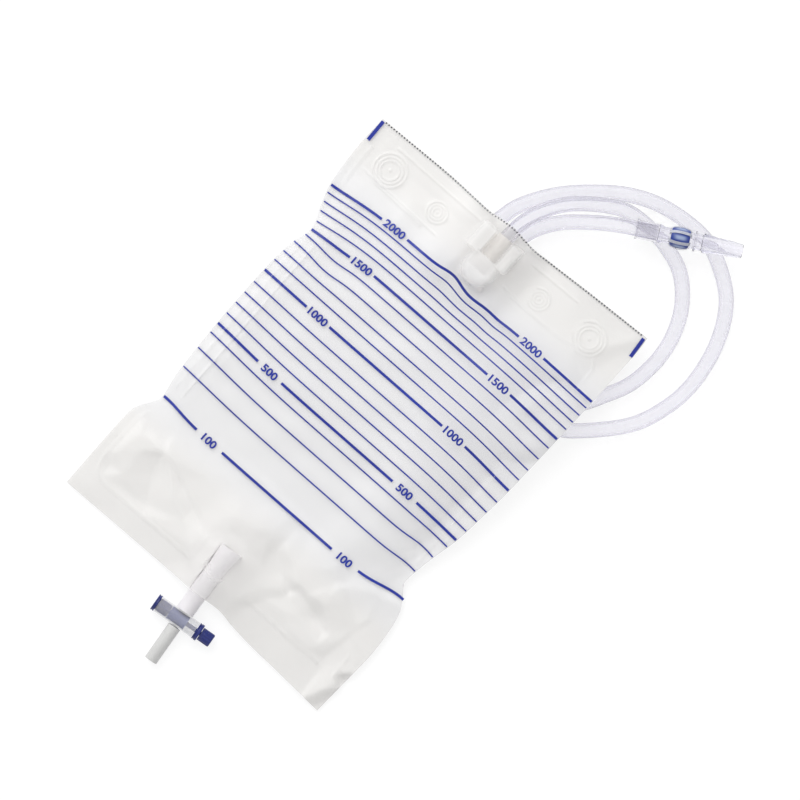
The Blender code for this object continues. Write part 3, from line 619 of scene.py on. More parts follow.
spot_x, spot_t = np.array([0.06]), np.array([0.085])
print("the span is", (span(spot_x, spot_t) * 1000).round(1), "mm high left of the crossing")

# %% The rise over the ports


def outlet_axis(t):
    """x of the outlet tube's axis at t."""
    return OUTLET_X - (VALVE_T - t) * math.tan(OUTLET_TURN)


def over_port(away, which, at_edge):
    """Share of the height at some distance from a port's axis: 1 over the level stretch, then an even S down.
    Both are shorter where at_edge is 1, because there the sheets are welded close to the tube."""
    level = LEVEL[which] + (LEVEL["edge"] - LEVEL[which]) * at_edge
    fall = FALL[which] + (FALL["edge"] - FALL[which]) * at_edge
    return ease((level + fall - np.abs(away)) / fall)


def bulge(x, t):
    """How far the two ports lift the front sheet off the back one, to both sides and into the pouch."""
    port = (2 * SLEEVE_R + 4 * CLEAR) * over_port(x, "port", fades(t, *TOP_WELD))
    tube_top = VALVE_HEIGHT + (VALVE_T - t) * math.tan(OUTLET_RISE) + FLARE_OD / 2 + CLEAR
    outlet = tube_top * over_port(x - outlet_axis(t), "outlet", fades(t, *LOWER_WELD))
    return np.maximum(port * ease((PORT_BULGE_END - t) / BULGE_FALL),
                      outlet * ease((t - (BAG_LENGTH - OUTLET_BULGE_REACH)) / BULGE_FALL))


PORT_FLOOR = 0.0105  # the back sheet's height under the port and under the outlet tube
OUTLET_FLOOR = 0.0004
PORT_FREE = 0.020  # what is added to that beside them
OUTLET_FREE = 0.016
PORT_BED = (0.034, 0.010)  # distance from the axis at which the bed under the port begins, and is level
PORT_BED_END = (PORT_BULGE_END, 0.046)
OUTLET_BED = (0.0087, 0.0042)
OUTLET_BED_END = (0.279, 0.285)
BLEND = 0.004  # two heights that differ by less than this are blended


def higher(first, second):
    """The higher of two heights. Where they are nearly the same, the change is a soft one."""
    near = np.clip(1 - np.abs(first - second) / BLEND, 0, 1)
    return np.maximum(first, second) + near ** 2 * BLEND / 4


def lower(first, second):
    """The lower of two heights, changing softly."""
    return -higher(-first, -second)


def kept_low(x, t, height):
    """The back sheet's height, held down where a port lies on it."""
    under_port = fades(np.abs(x), *PORT_BED) * fades(t, *PORT_BED_END)
    under_outlet = fades(np.abs(x - outlet_axis(t)), *OUTLET_BED) * fades(t, *OUTLET_BED_END)
    height = lower(height, PORT_FLOOR + PORT_FREE * (1 - under_port))
    return np.maximum(lower(height, OUTLET_FLOOR + OUTLET_FREE * (1 - under_outlet)), 0)


print("over the port the film is lifted by", (bulge(0.0, np.array([0.02])) * 1000).round(1), "mm")

# %% [markdown]
# ## Creases as a net of facets
#
# A stiff film that was folded up in a packet is never smooth. It is made of nearly flat facets that meet at
# creases. So the creases are drawn first, as short lines of knots, each knot a place and a height in
# millimetres. A triangulation that keeps the lines turns them into facets. Their heights are worked out on
# a fine map, which is then softened a little, because plastic film never folds quite sharp.

# %% Creases at the bottom
LOWER_CREASES = [
    [(-116, 236, 0), (-70, 232, 0), (-20, 230, 0), (30, 232, 0), (70, 236, 0), (116, 232, 0)],
    [(-116, 262, 0.6), (-116, 322, 0.3), (-60, 322, 0.4), (-30, 322, 0.8), (-12, 322, 2.8), (10, 322, 3.0),
     (30, 322, 2.4), (60, 325, 0.9), (96, 327, 1.6), (116, 327, 0.0), (116, 296, 0.2), (116, 287, 2.2),
     (116, 262, 1.4)],
    # the left pocket: its weld line, its short crease, the dark facet and the bright one
    [(-104, 252, 1.2), (-105, 288, 1.0), (-98, 302, 0.9), (-60, 303, 1.4), (-19, 303, 3.4)],
    [(-95, 258.5, 1.6), (-81, 258.5, 2.4), (-78, 262, 4.0), (-90, 272, 3.2), (-101, 282, 2.2)],
    [(-97, 261, 3.0), (-82, 260.5, 3.8)],
    [(-77, 266, 2.8), (-72, 277, 1.3), (-64, 296, 0.4)],
    [(-88, 290, 1.8)],
    [(-98, 292, 0.6)],
    [(-66, 268, 3.6), (-52, 279, 3.8), (-38, 288, 4.1), (-24, 296, 4.6)],
    [(-24, 286, 4.4)],
    [(-76, 263, 3.4), (-55, 270.5, 2.0), (-38, 277, 2.2), (-22, 283, 3.0), (-13, 285.5, 3.2)],
    [(-74, 262, 4.0), (-55, 268.5, 3.0), (-38, 275, 2.8), (-22, 281, 3.5)],
    [(-80, 247, 1.8), (-46, 256, 2.6), (-18, 264, 3.0)],
    [(-18.5, 286, 4.2), (-18, 302, 3.6)],
    [(-11, 288, 3.8), (-10, 300, 4.2), (-10, 318, 3.6)],
    [(-8, 272, 1.8), (4, 272, 1.8)],
    # right of the outlet: two dark folds that meet, and the pit at their end
    [(13, 240, 2.0), (12, 256, 3.0), (15, 268, 3.1), (20, 276, 3.0)],
    [(23, 240, 1.2), (22, 252, 2.0), (25, 257, 3.0), (38, 262, 3.5), (45, 269, 3.6)],
    [(22, 262, 1.8), (34, 270, 1.6), (46, 276.5, 0.8)],
    # the bright rib and the plateau right of it
    [(41, 278, 2.8), (31, 287, 3.7), (25, 297, 4.1), (21, 308, 3.9), (20, 318, 3.2)],
    [(46, 281, 2.2), (36, 291, 3.0), (30, 299, 3.2)],
    [(26, 280, 3.0), (18, 288, 3.8), (15, 300, 4.0)],
    [(8, 285, 3.8), (9, 302, 4.2), (10, 318, 3.6)],
    [(52, 289, 3.4), (62, 296, 3.2), (80, 296, 2.6)],
    [(32, 301, 2.2), (62, 300.5, 2.4), (95, 300, 1.8)],
    # the small arc and the dent beside it
    [(50, 272, 1.8), (55, 269.5, 3.2), (61, 268, 3.8), (67, 268.5, 3.6), (74, 271, 3.2)],
    [(63, 276, 1.6), (70, 278, 0.6), (79, 281, 1.0)],
    [(60, 284, 2.8), (74, 288, 2.6)],
    [(84, 280, 2.2), (83, 291, 2.7)],
    # the three slanting dents above them, and the crease by the right weld
    [(57, 246, 2.4), (65, 252, 2.2)],
    [(60, 243, 1.6), (69, 250, 1.4)],
    [(68, 252, 3.0), (80, 259, 2.6)],
    [(73, 249, 1.6), (84, 257, 1.4)],
    [(90, 240, 2.0), (97, 256, 2.0)],
    [(95, 239, 1.5), (100, 254, 1.5)],
    [(93, 264, 2.1), (91, 278, 2.2), (87, 292, 2.2)],
    [(96, 268, 1.8), (94, 282, 1.6), (91, 296, 1.5)],
    [(100, 276, 1.9), (99, 290, 2.0)],
    # the corner that curls up
    [(105, 296.5, 2.8), (113.5, 289, 2.8)],
    [(109, 296.5, 0.1), (112, 294, 0.1), (112, 300.5, 0.1)],
    [(106.5, 300.5, 2.8), (112, 304, 2.2)],
    [(99, 323, 3.0), (104, 313, 3.2), (110, 305, 2.6)],
    [(108.5, 321, 0.3), (111, 311, 0.4)],
]

# %% Creases at the top
UPPER_CREASES = [
    [(-116, -4, 0), (116, -8, 0), (120, 60, 0), (60, 62, 0), (20, 66, 0), (-20, 66, 0), (-60, 66, 0),
     (-120, 70, 0), (-116, -4, 0)],
    # the flap under the sleeve, and the crescent that falls away round it
    [(8, 26, 0.8), (8.5, 31, 1.3), (8, 37, 1.6), (4, 42, 1.6), (-3, 44, 1.4), (-10, 46, 0.8)],
    [(14, 27, 0.6), (14, 38, 0.2), (11, 47, 0.1), (5, 52, 0.1), (-8, 50, 0.2)],
    [(20, 34, 1.2), (24, 46, 1.0)],
    [(12, 4, 1.0), (10, 12, 1.0)],
    [(17, 4, 0.3), (15, 12, 0.4)],
    [(-18, 12, 1.0), (-18, 27, 1.0)],
    [(-30, 20, 0.4), (-30, 40, 0.8)],
    [(-76, 18, 0.4), (-62, 30, 1.2), (-50, 44, 0.8)],
    [(34, 14, 0.6), (60, 26, 1.2)],
    # the dark corner of the pouch near the right weld
    [(82, 37, 2.6), (92, 52, 3.0)],
    [(98, 40, 0.4), (99, 56, 0.2)],
]
print(len(LOWER_CREASES) + len(UPPER_CREASES), "lines of knots")

# %% Height map of the facets
MAP_STEP = 0.001
MAP_SOFTNESS = 1.1  # in steps
CREASE_DEPTH = 1.5  # every knot's height is drawn this much larger
map_x = np.arange(-0.125, 0.1251, MAP_STEP)
map_t = np.arange(-0.015, 0.3351, MAP_STEP)


def facets(creases):
    """Heights on the map: inside each facet, the mean of its three knots, each weighted by how near it is
    (barycentric weights). Outside of all facets the height is 0."""
    knots = np.array([knot for crease in creases for knot in crease], float) / 1000
    firsts = np.cumsum([0] + [len(crease) for crease in creases[:-1]])
    edges = [(int(first) + k, int(first) + k + 1)
             for first, crease in zip(firsts, creases) for k in range(len(crease) - 1)]
    flat = [Vector(knot[:2]) for knot in knots]
    places, _, triangles, origins, _, _ = delaunay_2d_cdt(flat, edges, [], 0, 1e-6)
    height = [max(knots[k, 2] for k in origin) if origin else 0.0 for origin in origins]
    x, t = np.meshgrid(map_x, map_t)
    field = np.zeros_like(x)
    for a, b, c in triangles:
        (xa, ta), (xb, tb), (xc, tc) = places[a], places[b], places[c]
        area = (xb - xa) * (tc - ta) - (xc - xa) * (tb - ta)
        if abs(area) < 1e-12:
            continue
        share_b = ((x - xa) * (tc - ta) - (xc - xa) * (t - ta)) / area
        share_c = ((xb - xa) * (t - ta) - (x - xa) * (tb - ta)) / area
        inside = (share_b >= -1e-9) & (share_c >= -1e-9) & (share_b + share_c <= 1 + 1e-9)
        here = height[a] + (height[b] - height[a]) * share_b + (height[c] - height[a]) * share_c
        field[inside] = here[inside]
    return field


def softened(field, softness):
    """The map smoothed along both of its directions with the weights exp(-k^2 / (2 softness^2))."""
    reach = np.arange(-4, 5)
    weights = np.exp(-reach ** 2 / (2 * softness ** 2))
    weights /= weights.sum()
    for axis in (0, 1):
        field = sum(weight * np.roll(field, int(k), axis) for k, weight in zip(reach, weights))
    return field


crease_map = CREASE_DEPTH * softened(facets(LOWER_CREASES) + facets(UPPER_CREASES), MAP_SOFTNESS)


def creased(x, t):
    """The height map read between its points, in proportion to the distances."""
    column = np.clip((x - map_x[0]) / MAP_STEP, 0, len(map_x) - 1.001)
    row = np.clip((t - map_t[0]) / MAP_STEP, 0, len(map_t) - 1.001)
    c, r = column.astype(int), row.astype(int)
    right, below = column - c, row - r
    this_row, next_row = (crease_map[k, c] * (1 - right) + crease_map[k, c + 1] * right for k in (r, r + 1))
    return this_row * (1 - below) + next_row * below


print(f"the highest crease is {crease_map.max() * 1000:.1f} mm")

# %% [markdown]
# ## Welds, rings and crinkles
#
# The welding tool leaves raised lines, and the hanger holes are pressed as rings. The side welds shrink and
# crinkle. Each kind is a short function of x and t.

# %% Relief functions


def bead(x, t, points, height, width):
    """A raised line through some points: height times exp(-(d / width)^2), d the distance from the line."""
    rise = np.zeros_like(x)
    for (xa, ta), (xb, tb) in zip(points, points[1:]):
        dx, dt = xb - xa, tb - ta
        along = np.clip(((x - xa) * dx + (t - ta) * dt) / (dx * dx + dt * dt), 0, 1)
        away = np.hypot(x - xa - along * dx, t - ta - along * dt)
        rise = np.maximum(rise, np.exp(-(away / width) ** 2))
    return height * rise


def ring(x, t, centre_x, centre_t, radii, height, width):
    """Raised circles: height times exp(-((distance from the centre - radius) / width)^2)."""
    away = np.hypot(x - centre_x, t - centre_t)
    return height * sum(np.exp(-((away - radius) / width) ** 2) for radius in radii)


def ripple(x, t, seed, lengths, turn, count=7):
    """Soft waves: the mean of some sines of random length, direction near turn, and phase."""
    random = np.random.default_rng(seed)
    wave = np.zeros_like(x)
    for _ in range(count):
        length = random.uniform(*lengths)
        angle = turn + random.normal(0, 0.25)
        phase = random.uniform(0, 2 * math.pi)
        wave += np.sin(2 * math.pi * (x * math.cos(angle) + t * math.sin(angle)) / length + phase)
    return wave / math.sqrt(count)


trial_bead = bead(np.zeros(1), np.zeros(1), [(-1, 0), (1, 0)], 0.3, 1.0)
print("a bead is", float(trial_bead[0]), "mm high on its line")

# %% Relief of the sheets
LARGE_RINGS = (0.0003, 0.0065, 0.0088, 0.0114)
SMALL_RINGS = (0.0003, 0.0030, 0.0050, 0.0072)
RING_PLACES = [(-0.0870, 0.0245, LARGE_RINGS), (-0.0455, 0.0250, SMALL_RINGS),
               (0.0425, 0.0240, SMALL_RINGS), (0.0845, 0.0218, LARGE_RINGS)]
WELD_LINES = [
    [(-0.0920, 0.0100), (-0.0200, 0.0102)],
    [(-0.0185, 0.0115), (-0.0185, 0.0270)],
    [(-0.1000, 0.0352), (-0.0370, 0.0368)],
    [(-0.0900, 0.0372), (-0.0480, 0.0382)],
    [(-0.1068, 0.0200), (-0.1062, 0.0400), (-0.1040, 0.0520)],
    [(0.0250, 0.0095), (0.0620, 0.0085)],
    [(0.0200, 0.0332), (0.0560, 0.0338), (0.0720, 0.0328), (0.0850, 0.0305)],
    [(0.0270, 0.0350), (0.0600, 0.0350), (0.0770, 0.0338)],
    [(0.0125, 0.0285), (0.0150, 0.0335)],
    [(0.0950, 0.0300), (0.0995, 0.0360), (0.0998, 0.0560)],
    [(0.0115, 0.0165), (0.0117, 0.0270)],
    [(-0.0920, 0.0950), (-0.0918, 0.2280)],
    [(-0.1000, 0.1000), (-0.0995, 0.2250)],
    [(0.0975, 0.0700), (0.0965, 0.2050)],
    [(-0.1020, 0.2490), (-0.1045, 0.2560), (-0.1052, 0.2900), (-0.1025, 0.2985), (-0.0960, 0.3028),
     (-0.0180, 0.3030)],
    [(-0.0185, 0.2850), (-0.0178, 0.3020)],
    [(0.0300, 0.2995), (0.0900, 0.2995)],
    [(0.1035, 0.2830), (0.1035, 0.3000)],
]
BEAD_HEIGHT = 0.00050
BEAD_WIDTH = 0.0007
RING_HEIGHT = 0.00060
RING_WIDTH = 0.00062
# Height of some waves, seed, their lengths from and to, and the direction that they keep near
LEFT_WAVES = (0.00012, 3, (0.004, 0.009), 0.05)
RIGHT_WAVES = (0.00010, 5, (0.005, 0.011), 0.1)
POUCH_WAVES = (0.00030, 8, (0.018, 0.050), 0.9)
POUCH_WAVINESS = 0.6
# The ends of a stretch: at the first place of each pair it is 0, at the second it is whole
SIDE_RUN = ((0.085, 0.105), (0.235, 0.215))
LEFT_BAND = ((-0.105, -0.101), (-0.078, -0.092))
RIGHT_BAND = ((0.074, 0.092), (0.108, 0.102))
WAVES_FROM = (0.030, 0.050)
POUCH_DOWN = ((0.036, 0.056), (0.300, 0.280))
POUCH_SIDE = (0.098, 0.086)


def relief(x, t):
    """All that is pressed, creased or crinkled into both sheets. It is never below 0."""
    rise = creased(x, t)
    for centre_x, centre_t, radii in RING_PLACES:
        rise += ring(x, t, centre_x, centre_t, radii, RING_HEIGHT, RING_WIDTH)
    for points in WELD_LINES:
        rise += bead(x, t, points, BEAD_HEIGHT, BEAD_WIDTH)
    down_the_sides = within(t, *SIDE_RUN)
    for (height, *waves), waviness, share in (
            (LEFT_WAVES, 1.0, within(x, *LEFT_BAND) * down_the_sides),
            (RIGHT_WAVES, 1.0, within(x, *RIGHT_BAND) * down_the_sides),
            (POUCH_WAVES, POUCH_WAVINESS, fades(t, *WAVES_FROM))):
        rise += height * share * (1 + waviness * ripple(x, t, *waves))
    return np.maximum(rise, 0)


def back_under(x, t):
    """Underside of the back sheet: on the tube or along the span, with the relief on top."""
    raised = higher(tented(x, t), span(x, t)) + fold(x, t) + relief(x, t)
    return np.maximum(kept_low(x, t, raised), tented(x, t))


def front_under(x, t):
    """Underside of the front sheet: over the back one, or over the ports, whichever is higher."""
    lift = tented(x, t)
    pair = np.maximum(higher(lift, span(x, t)) + fold(x, t), lift)
    inside = within(t, *POUCH_DOWN) * fades(np.abs(x), *POUCH_SIDE)
    return FILM + CLEAR + higher(pair + PAIR_GAP * inside, lift + bulge(x, t)) + relief(x, t)


# %% [markdown]
# ## The two sheets
#
# A film has two faces and a thin edge. The face that shows is a fine grid, closer where the rings are. The
# face behind it uses every second line of that grid, because nobody sees its detail, and a narrow row of
# triangles joins the two along the rim.

# %% Sheet mesh


def film_shape(points, thickness):
    """Closed sheet from the fine grid of its upper face. Its lower face is every second point, thickness
    lower. Round the rim, three triangles join each coarse edge to its two fine ones."""
    rows, columns = points.shape[:2]
    coarse = points[::2, ::2] - [0.0, 0.0, thickness]
    c_rows, c_columns = coarse.shape[:2]
    upper_faces = grid_faces(rows, columns)
    lower_faces = grid_faces(c_rows, c_columns)[:, ::-1] + rows * columns
    number = np.arange(rows * columns).reshape(rows, columns)
    c_number = np.arange(c_rows * c_columns).reshape(c_rows, c_columns) + rows * columns
    triangles = []
    for fine, rough in ((number[0], c_number[0]), (number[:, -1], c_number[:, -1]),
                        (number[-1, ::-1], c_number[-1, ::-1]), (number[::-1, 0], c_number[::-1, 0])):
        a, m, b = fine[:-1:2], fine[1::2], fine[2::2]
        p, q = rough[:-1], rough[1:]
        triangles += [np.stack([a, p, m], 1), np.stack([p, q, m], 1), np.stack([m, q, b], 1)]
    everything = np.concatenate([points.reshape(-1, 3), coarse.reshape(-1, 3)])
    return everything, np.concatenate([upper_faces, lower_faces]), np.concatenate(triangles)


def odd(places):
    """The same stretch of places with an odd count, so that every second one ends on its last."""
    if len(places) % 2:
        return places
    return np.concatenate([places[:1], (places[:1] + places[1:2]) / 2, places[1:]])


# Where the front sheet is milky, in millimetres: from, to, and how softly both ends fade
TABS = ((-18.0, 14.0, 3.0), (8.5, 27.5, 2.6))
PORT_BODY = ((-7.6, 6.0, 1.4), (0, 26, 2.0))
FLAP = ((-9.5, 6.0, 1.8), (25, 36.5, 1.6))
FLAP_CLEARER = 0.45
# The spot round the sleeve's end: its soft rim is half milky and renders darker, a painted shade for the
# crescent fold round the sleeve.
SPOT_MIDDLE = (-0.5, 34.5)
SPOT_REACH = (13.0, 13.5)
SPOT_EDGE = 2.4
OUTLET_WELD = [(-8.5, 296.5), (-4.5, 301.0), (-2.0, 302.4), (3.0, 302.8), (6.5, 300.5)]
WELD_SHARE = 0.45
WELD_REACH = 0.9


def patch(x, t, across, down):
    """1 inside a rectangle and 0 outside it, fading softly at its sides."""
    shares = [ease((value - low) / soft + 0.5) * ease((high - value) / soft + 0.5)
              for value, (low, high, soft) in ((x, across), (t, down))]
    return shares[0] * shares[1]


def milkiness(x, t):
    """Where the front sheet hides what is under it, 0 to 1, from x and t in millimetres: over the tabs of the
    port, round the sleeve's end, and along the weld that crosses the outlet tube."""
    away = np.hypot((x - SPOT_MIDDLE[0]) / SPOT_REACH[0], (t - SPOT_MIDDLE[1]) / SPOT_REACH[1])
    port = np.maximum(patch(x, t, *TABS), ease((1 - away) * SPOT_EDGE))
    port = port * (1 - patch(x, t, *PORT_BODY)) * (1 - FLAP_CLEARER * patch(x, t, *FLAP))
    return np.maximum(port, bead(x, t, OUTLET_WELD, WELD_SHARE, WELD_REACH))


# Where a stretch of the grid ends and how far apart its lines are, as shares of the half width or the length
ACROSS_GRID = [(0.33, 0.0125), (0.47, 0.0058), (0.66, 0.0125), (0.88, 0.0060), (1.0, 0.0110)]
DOWN_GRID = [(0.025, 0.0045), (0.120, 0.0020), (1.0, 0.0044)]
half_across = spaced(ACROSS_GRID)
across = odd(np.concatenate([-half_across[::-1], half_across[1:]]))
down = odd(spaced(DOWN_GRID))
x, t = sheet_places(across, down)
back_top, front_top = back_under(x, t) + FILM, front_under(x, t) + FILM
back_film = dress("back_film", film_shape(at(x, t, back_top), FILM), "white_film",
                  instead_of=["back_sheet"], sharp=60)
front_film = dress("front_film", film_shape(at(x, t, front_top), FILM), "clear_film",
                   instead_of=["front_sheet"], sharp=60)
milky = milkiness(x * 1000, t * 1000)
milky_points = np.concatenate([milky.ravel(), milky[::2, ::2].ravel()]).astype(np.float32)
front_film.data.attributes.new("milky", "FLOAT", "POINT").data.foreach_set("value", milky_points)
print(f"the front sheet rises to {front_top.max() * 1000:.1f} mm")

# %% [markdown]
# ## The printed scale
#
# The scale is blue ink on the front sheet: bold lines at the five main volumes, thin ones between them, and
# numbers in gaps of the bold lines. It was printed on flat film, so its lines were straight, and the creased
# bag now bends them. Ink has no thickness worth seeing, but a real surface keeps crisp edges in every
# light, so each line is a thin band that follows the film a tenth of a millimetre above it.

# %% How the print is bent
PULLS = [
    # middle x, middle t, reach in x, reach in t, shift down the bag
    (-0.120, 0.056, 0.036, 0.028, 0.0062), (-0.118, 0.078, 0.040, 0.0085, 0.0041),
    (-0.076, 0.096, 0.014, 0.010, 0.0024), (-0.010, 0.046, 0.010, 0.012, -0.0027),
    (0.007, 0.050, 0.012, 0.014, 0.0015), (0.031, 0.056, 0.008, 0.010, 0.0008),
    (0.118, 0.130, 0.034, 0.060, 0.0034), (-0.115, 0.190, 0.045, 0.050, -0.0030),
    (0.092, 0.204, 0.014, 0.014, -0.0026), (0.104, 0.236, 0.022, 0.012, -0.0062),
    (-0.098, 0.234, 0.016, 0.010, -0.0022),
]


def pulled(x, t):
    """How far down the bag the print has moved: a sum of soft bumps, each shift exp(-d^2)."""
    shift = np.zeros(np.broadcast(x, t).shape)
    for mid_x, mid_t, reach_x, reach_t, amount in PULLS:
        shift += amount * np.exp(-((x - mid_x) / reach_x) ** 2 - ((t - mid_t) / reach_t) ** 2)
    return shift


INK_LIFT = 0.0001
INK_DEPTH = 0.00012


def film_top(x, t):
    """Height of the front sheet's face at any place."""
    x, t = np.broadcast_arrays(np.asarray(x, float), np.asarray(t, float))
    return front_under(x, t) + FILM


def ink_band(middle, width):
    """A band of ink along a middle line of (x, t) points: its four corners are carried along it, half the
    width to each side, just above the film and just below its own top."""
    along = np.gradient(middle, axis=0)
    along /= np.linalg.norm(along, axis=1, keepdims=True)
    across_line = np.stack([-along[:, 1], along[:, 0]], axis=1)
    edges = [middle - across_line * width / 2, middle + across_line * width / 2]
    left, right = (at(e[:, 0], e[:, 1], film_top(e[:, 0], e[:, 1]) + INK_LIFT) for e in edges)
    drop = np.array([0.0, 0.0, INK_DEPTH])
    ring_points = np.stack([left, right, right - drop, left - drop], axis=1)
    rows = len(middle)
    quads = grid_faces(rows, 4, around=True)
    caps = np.array([[3, 2, 1, 0], [4 * rows - 4, 4 * rows - 3, 4 * rows - 2, 4 * rows - 1]])
    return ring_points.reshape(-1, 3), np.concatenate([quads, caps])


largest_pull = float(np.abs(pulled(x, t)).max())
print("the print is pulled by up to", round(largest_pull * 1000, 1), "mm")

# %% Scale lines
BOLD = 0.0018
THIN = 0.00095
BOLD_LINES = [(0.0513, "2000"), (0.0836, "1500"), (0.1284, "1000"), (0.1772, "500"), (0.2372, "100")]
THIN_LINES = [0.0566, 0.0630, 0.0690, 0.0752, 0.0913, 0.1006, 0.1103, 0.1188, 0.1393, 0.1490, 0.1583, 0.1680,
              0.1850, 0.1980, 0.2132]
LABEL_X = 0.0593
LINE_INSET = 0.0006  # between a line's end and the film's edge
LABEL_GAP = {"2000": 0.0215, "1500": 0.0200, "1000": 0.0200, "500": 0.0210, "100": 0.0225}
INK_STEP = 0.0011


def scale_line(level, start, end, width):
    """The middle line of a printed line at a level, bent with the print, as an ink band."""
    x = np.linspace(start, end, max(6, round(abs(end - start) / INK_STEP)))
    level = level + pulled(x, level)
    return ink_band(np.stack([x, level], axis=1), width)


def ends_at(level):
    """Where a line at this level meets the film's two sides."""
    left, right = -float(side(LEFT_SIDE, level)), float(side(RIGHT_SIDE, level))
    return (LINE_INSET - float(side(LEFT_SIDE, level + pulled(left, level))),
            float(side(RIGHT_SIDE, level + pulled(right, level))) - LINE_INSET)


bands = [scale_line(level, *ends_at(level), THIN) for level in THIN_LINES]
for level, label in BOLD_LINES:
    left, right = ends_at(level)
    half_gap = LABEL_GAP[label] / 2
    inner, outer = LABEL_X - half_gap, LABEL_X + half_gap
    parts = ((left, -outer), (-inner, inner), (outer, right))
    bands += [scale_line(level, start, end, BOLD) for start, end in parts]
dress("scale_lines", join(bands), "blue_ink")

# %% Scale numbers
DIGIT_HEIGHT = 0.0055
DIGIT_STRETCH = 1.14
NUMBER_WEIGHT = 0.030
LONG_EDGE = 0.25  # in the font's own units


def number_mesh(text, centre_x, level):
    """Points and faces of a number: drawn flat with the plain font, cut fine, then laid on the film."""
    curve = bpy.data.curves.new("number", "FONT")
    curve.body = text
    curve.align_x = "CENTER"
    curve.offset = NUMBER_WEIGHT
    curve.extrude = 0.1
    made = bpy.data.objects.new("number", curve)
    bpy.context.collection.objects.link(made)
    bpy.context.view_layer.update()
    flat = bpy.data.meshes.new_from_object(made)
    bpy.data.objects.remove(made)
    work = bmesh.new()
    work.from_mesh(flat)
    bmesh.ops.remove_doubles(work, verts=work.verts, dist=1e-5)
    bmesh.ops.triangulate(work, faces=work.faces)
    long_edges = [edge for edge in work.edges if edge.calc_length() > LONG_EDGE]
    bmesh.ops.subdivide_edges(work, edges=long_edges, cuts=1)
    bmesh.ops.triangulate(work, faces=work.faces)
    work.to_mesh(flat)
    work.free()
    corners = np.empty(len(flat.vertices) * 3)
    flat.vertices.foreach_get("co", corners)
    corners = corners.reshape(-1, 3)
    faces = np.empty(len(flat.polygons) * 3, int)
    flat.loops.foreach_get("vertex_index", faces)
    low, high = corners[:, 1].min(), corners[:, 1].max()
    scale = DIGIT_HEIGHT / (high - low)
    x = centre_x + (corners[:, 0] - (corners[:, 0].min() + corners[:, 0].max()) / 2) * scale * DIGIT_STRETCH
    t = level - (corners[:, 1] - (low + high) / 2) * scale
    t = t + pulled(x, level)
    z = film_top(x, t) + INK_LIFT - np.where(corners[:, 2] > 0, 0, INK_DEPTH)
    return at(x, t, z), faces.reshape(-1, 3)


numbers = [number_mesh(label, way * LABEL_X, level) for level, label in BOLD_LINES for way in (-1, 1)]
number_points, number_faces = join(numbers)
dress("scale_numbers", (number_points, np.empty((0, 4), int), number_faces), "blue_ink")

# %% Corner bars and the dotted line
BAR_WIDTH = 0.0025
DOT_STEP = 0.0022
DOT_SIZE = 0.0011
DOT_LENGTH = 0.0009
LEFT_BAR = [(-0.1118, 0.0030), (-0.1114, 0.0187)]
RIGHT_BAR = [(0.1112, -0.0020), (0.1125, 0.0127)]
DOTS_HALF = 0.1095
DOTS_BELOW = 0.0008
bars = [ink_band(smooth_curve(ends, 14), BAR_WIDTH) for ends in (LEFT_BAR, RIGHT_BAR)]
dress("corner_bars", join(bars), "blue_ink")

dot_x = np.arange(-DOTS_HALF, DOTS_HALF, DOT_STEP)
dot_t = follow(TOP_EDGE, dot_x / BAG_HALF_WIDTH) + DOTS_BELOW
dot_run = np.linspace(-DOT_LENGTH / 2, DOT_LENGTH / 2, 3)
dots = [ink_band(np.stack([x_here + dot_run, np.full(3, t_here)], axis=1), DOT_SIZE)
        for x_here, t_here in zip(dot_x, dot_t)]
dress("top_dots", join(dots), "grey_ink")

# %% [markdown]
# ## The inlet port and its sleeve
#
# The port is a short moulded tube with a tab on each side, and the films are welded to it. A thin sleeve
# hangs from it into the pouch. Filling opens the sleeve, and a full bag presses it flat, so nothing flows
# back. The sleeve is a tube whose section turns from a circle into a flat oval.

# %% Port
PORT_LENGTH = 0.023
PORT_BORE = 0.007
PORT_END = PORT_MOUTH + PORT_LENGTH
TAB_WIDTH = 0.007
TAB_LENGTH = 0.0145
TAB_THICK = 0.0012
TAB_START = 0.002
TAB_LEVEL = 0.0027
TAB_BURIED = 0.0006
port_place = place_at(at(0, PORT_MOUTH, PORT_HEIGHT), turn=math.radians(-90))
outside, socket, bore = PORT_OD / 2, TUBE_R + CLEAR, PORT_BORE / 2
step = PORT_SOCKET + CLEAR
port_profile = rounded([(0, outside), (PORT_LENGTH, outside), (PORT_LENGTH, bore), (step, bore),
                        (step, socket), (0, socket)], 0.0004)
port_shape = turned(port_profile, port_place)
SLAB_SIDES = 32
SLAB_POWER = 0.25


def squared(angle, power):
    """Cosine and sine, each to a power with its sign kept: 1 gives a circle, less swells it to a square."""
    return [np.sign(part) * np.abs(part) ** power for part in (np.cos(angle), np.sin(angle))]


def slab(low, high, place, bevel=0.0003):
    """A flat tab with rounded edges: an outline carried up through four heights, smaller at both faces. The
    first and the last row shrink to the middle and close it."""
    low, high = np.array(low), np.array(high)
    half, middle = (high - low) / 2, (high + low) / 2
    corner = np.linspace(0, 2 * math.pi, SLAB_SIDES, endpoint=False) + math.pi / SLAB_SIDES
    x, y = squared(corner, SLAB_POWER)
    rows = []
    for z, inset, grown in ((low[2], bevel, 0), (low[2], bevel, 1), (low[2] + bevel, 0.0, 1),
                            (high[2] - bevel, 0.0, 1), (high[2], bevel, 1), (high[2], bevel, 0)):
        rows.append(np.stack(np.broadcast_arrays(middle[0] + x * (half[0] - inset) * grown,
                                                 middle[1] + y * (half[1] - inset) * grown, z, 1.0), axis=-1))
    return placed(np.stack(rows), place), grid_faces(len(rows), SLAB_SIDES, around=True)


near, far = outside - TAB_BURIED, outside + TAB_WIDTH
tabs = [slab((TAB_START, min(way * near, way * far), -TAB_LEVEL),
             (TAB_START + TAB_LENGTH, max(way * near, way * far), TAB_THICK - TAB_LEVEL), port_place)
        for way in (-1, 1)]
dress("moulded_port", join([port_shape, *tabs]), "port_pvc", instead_of=["inlet_port"],
      merge=True)

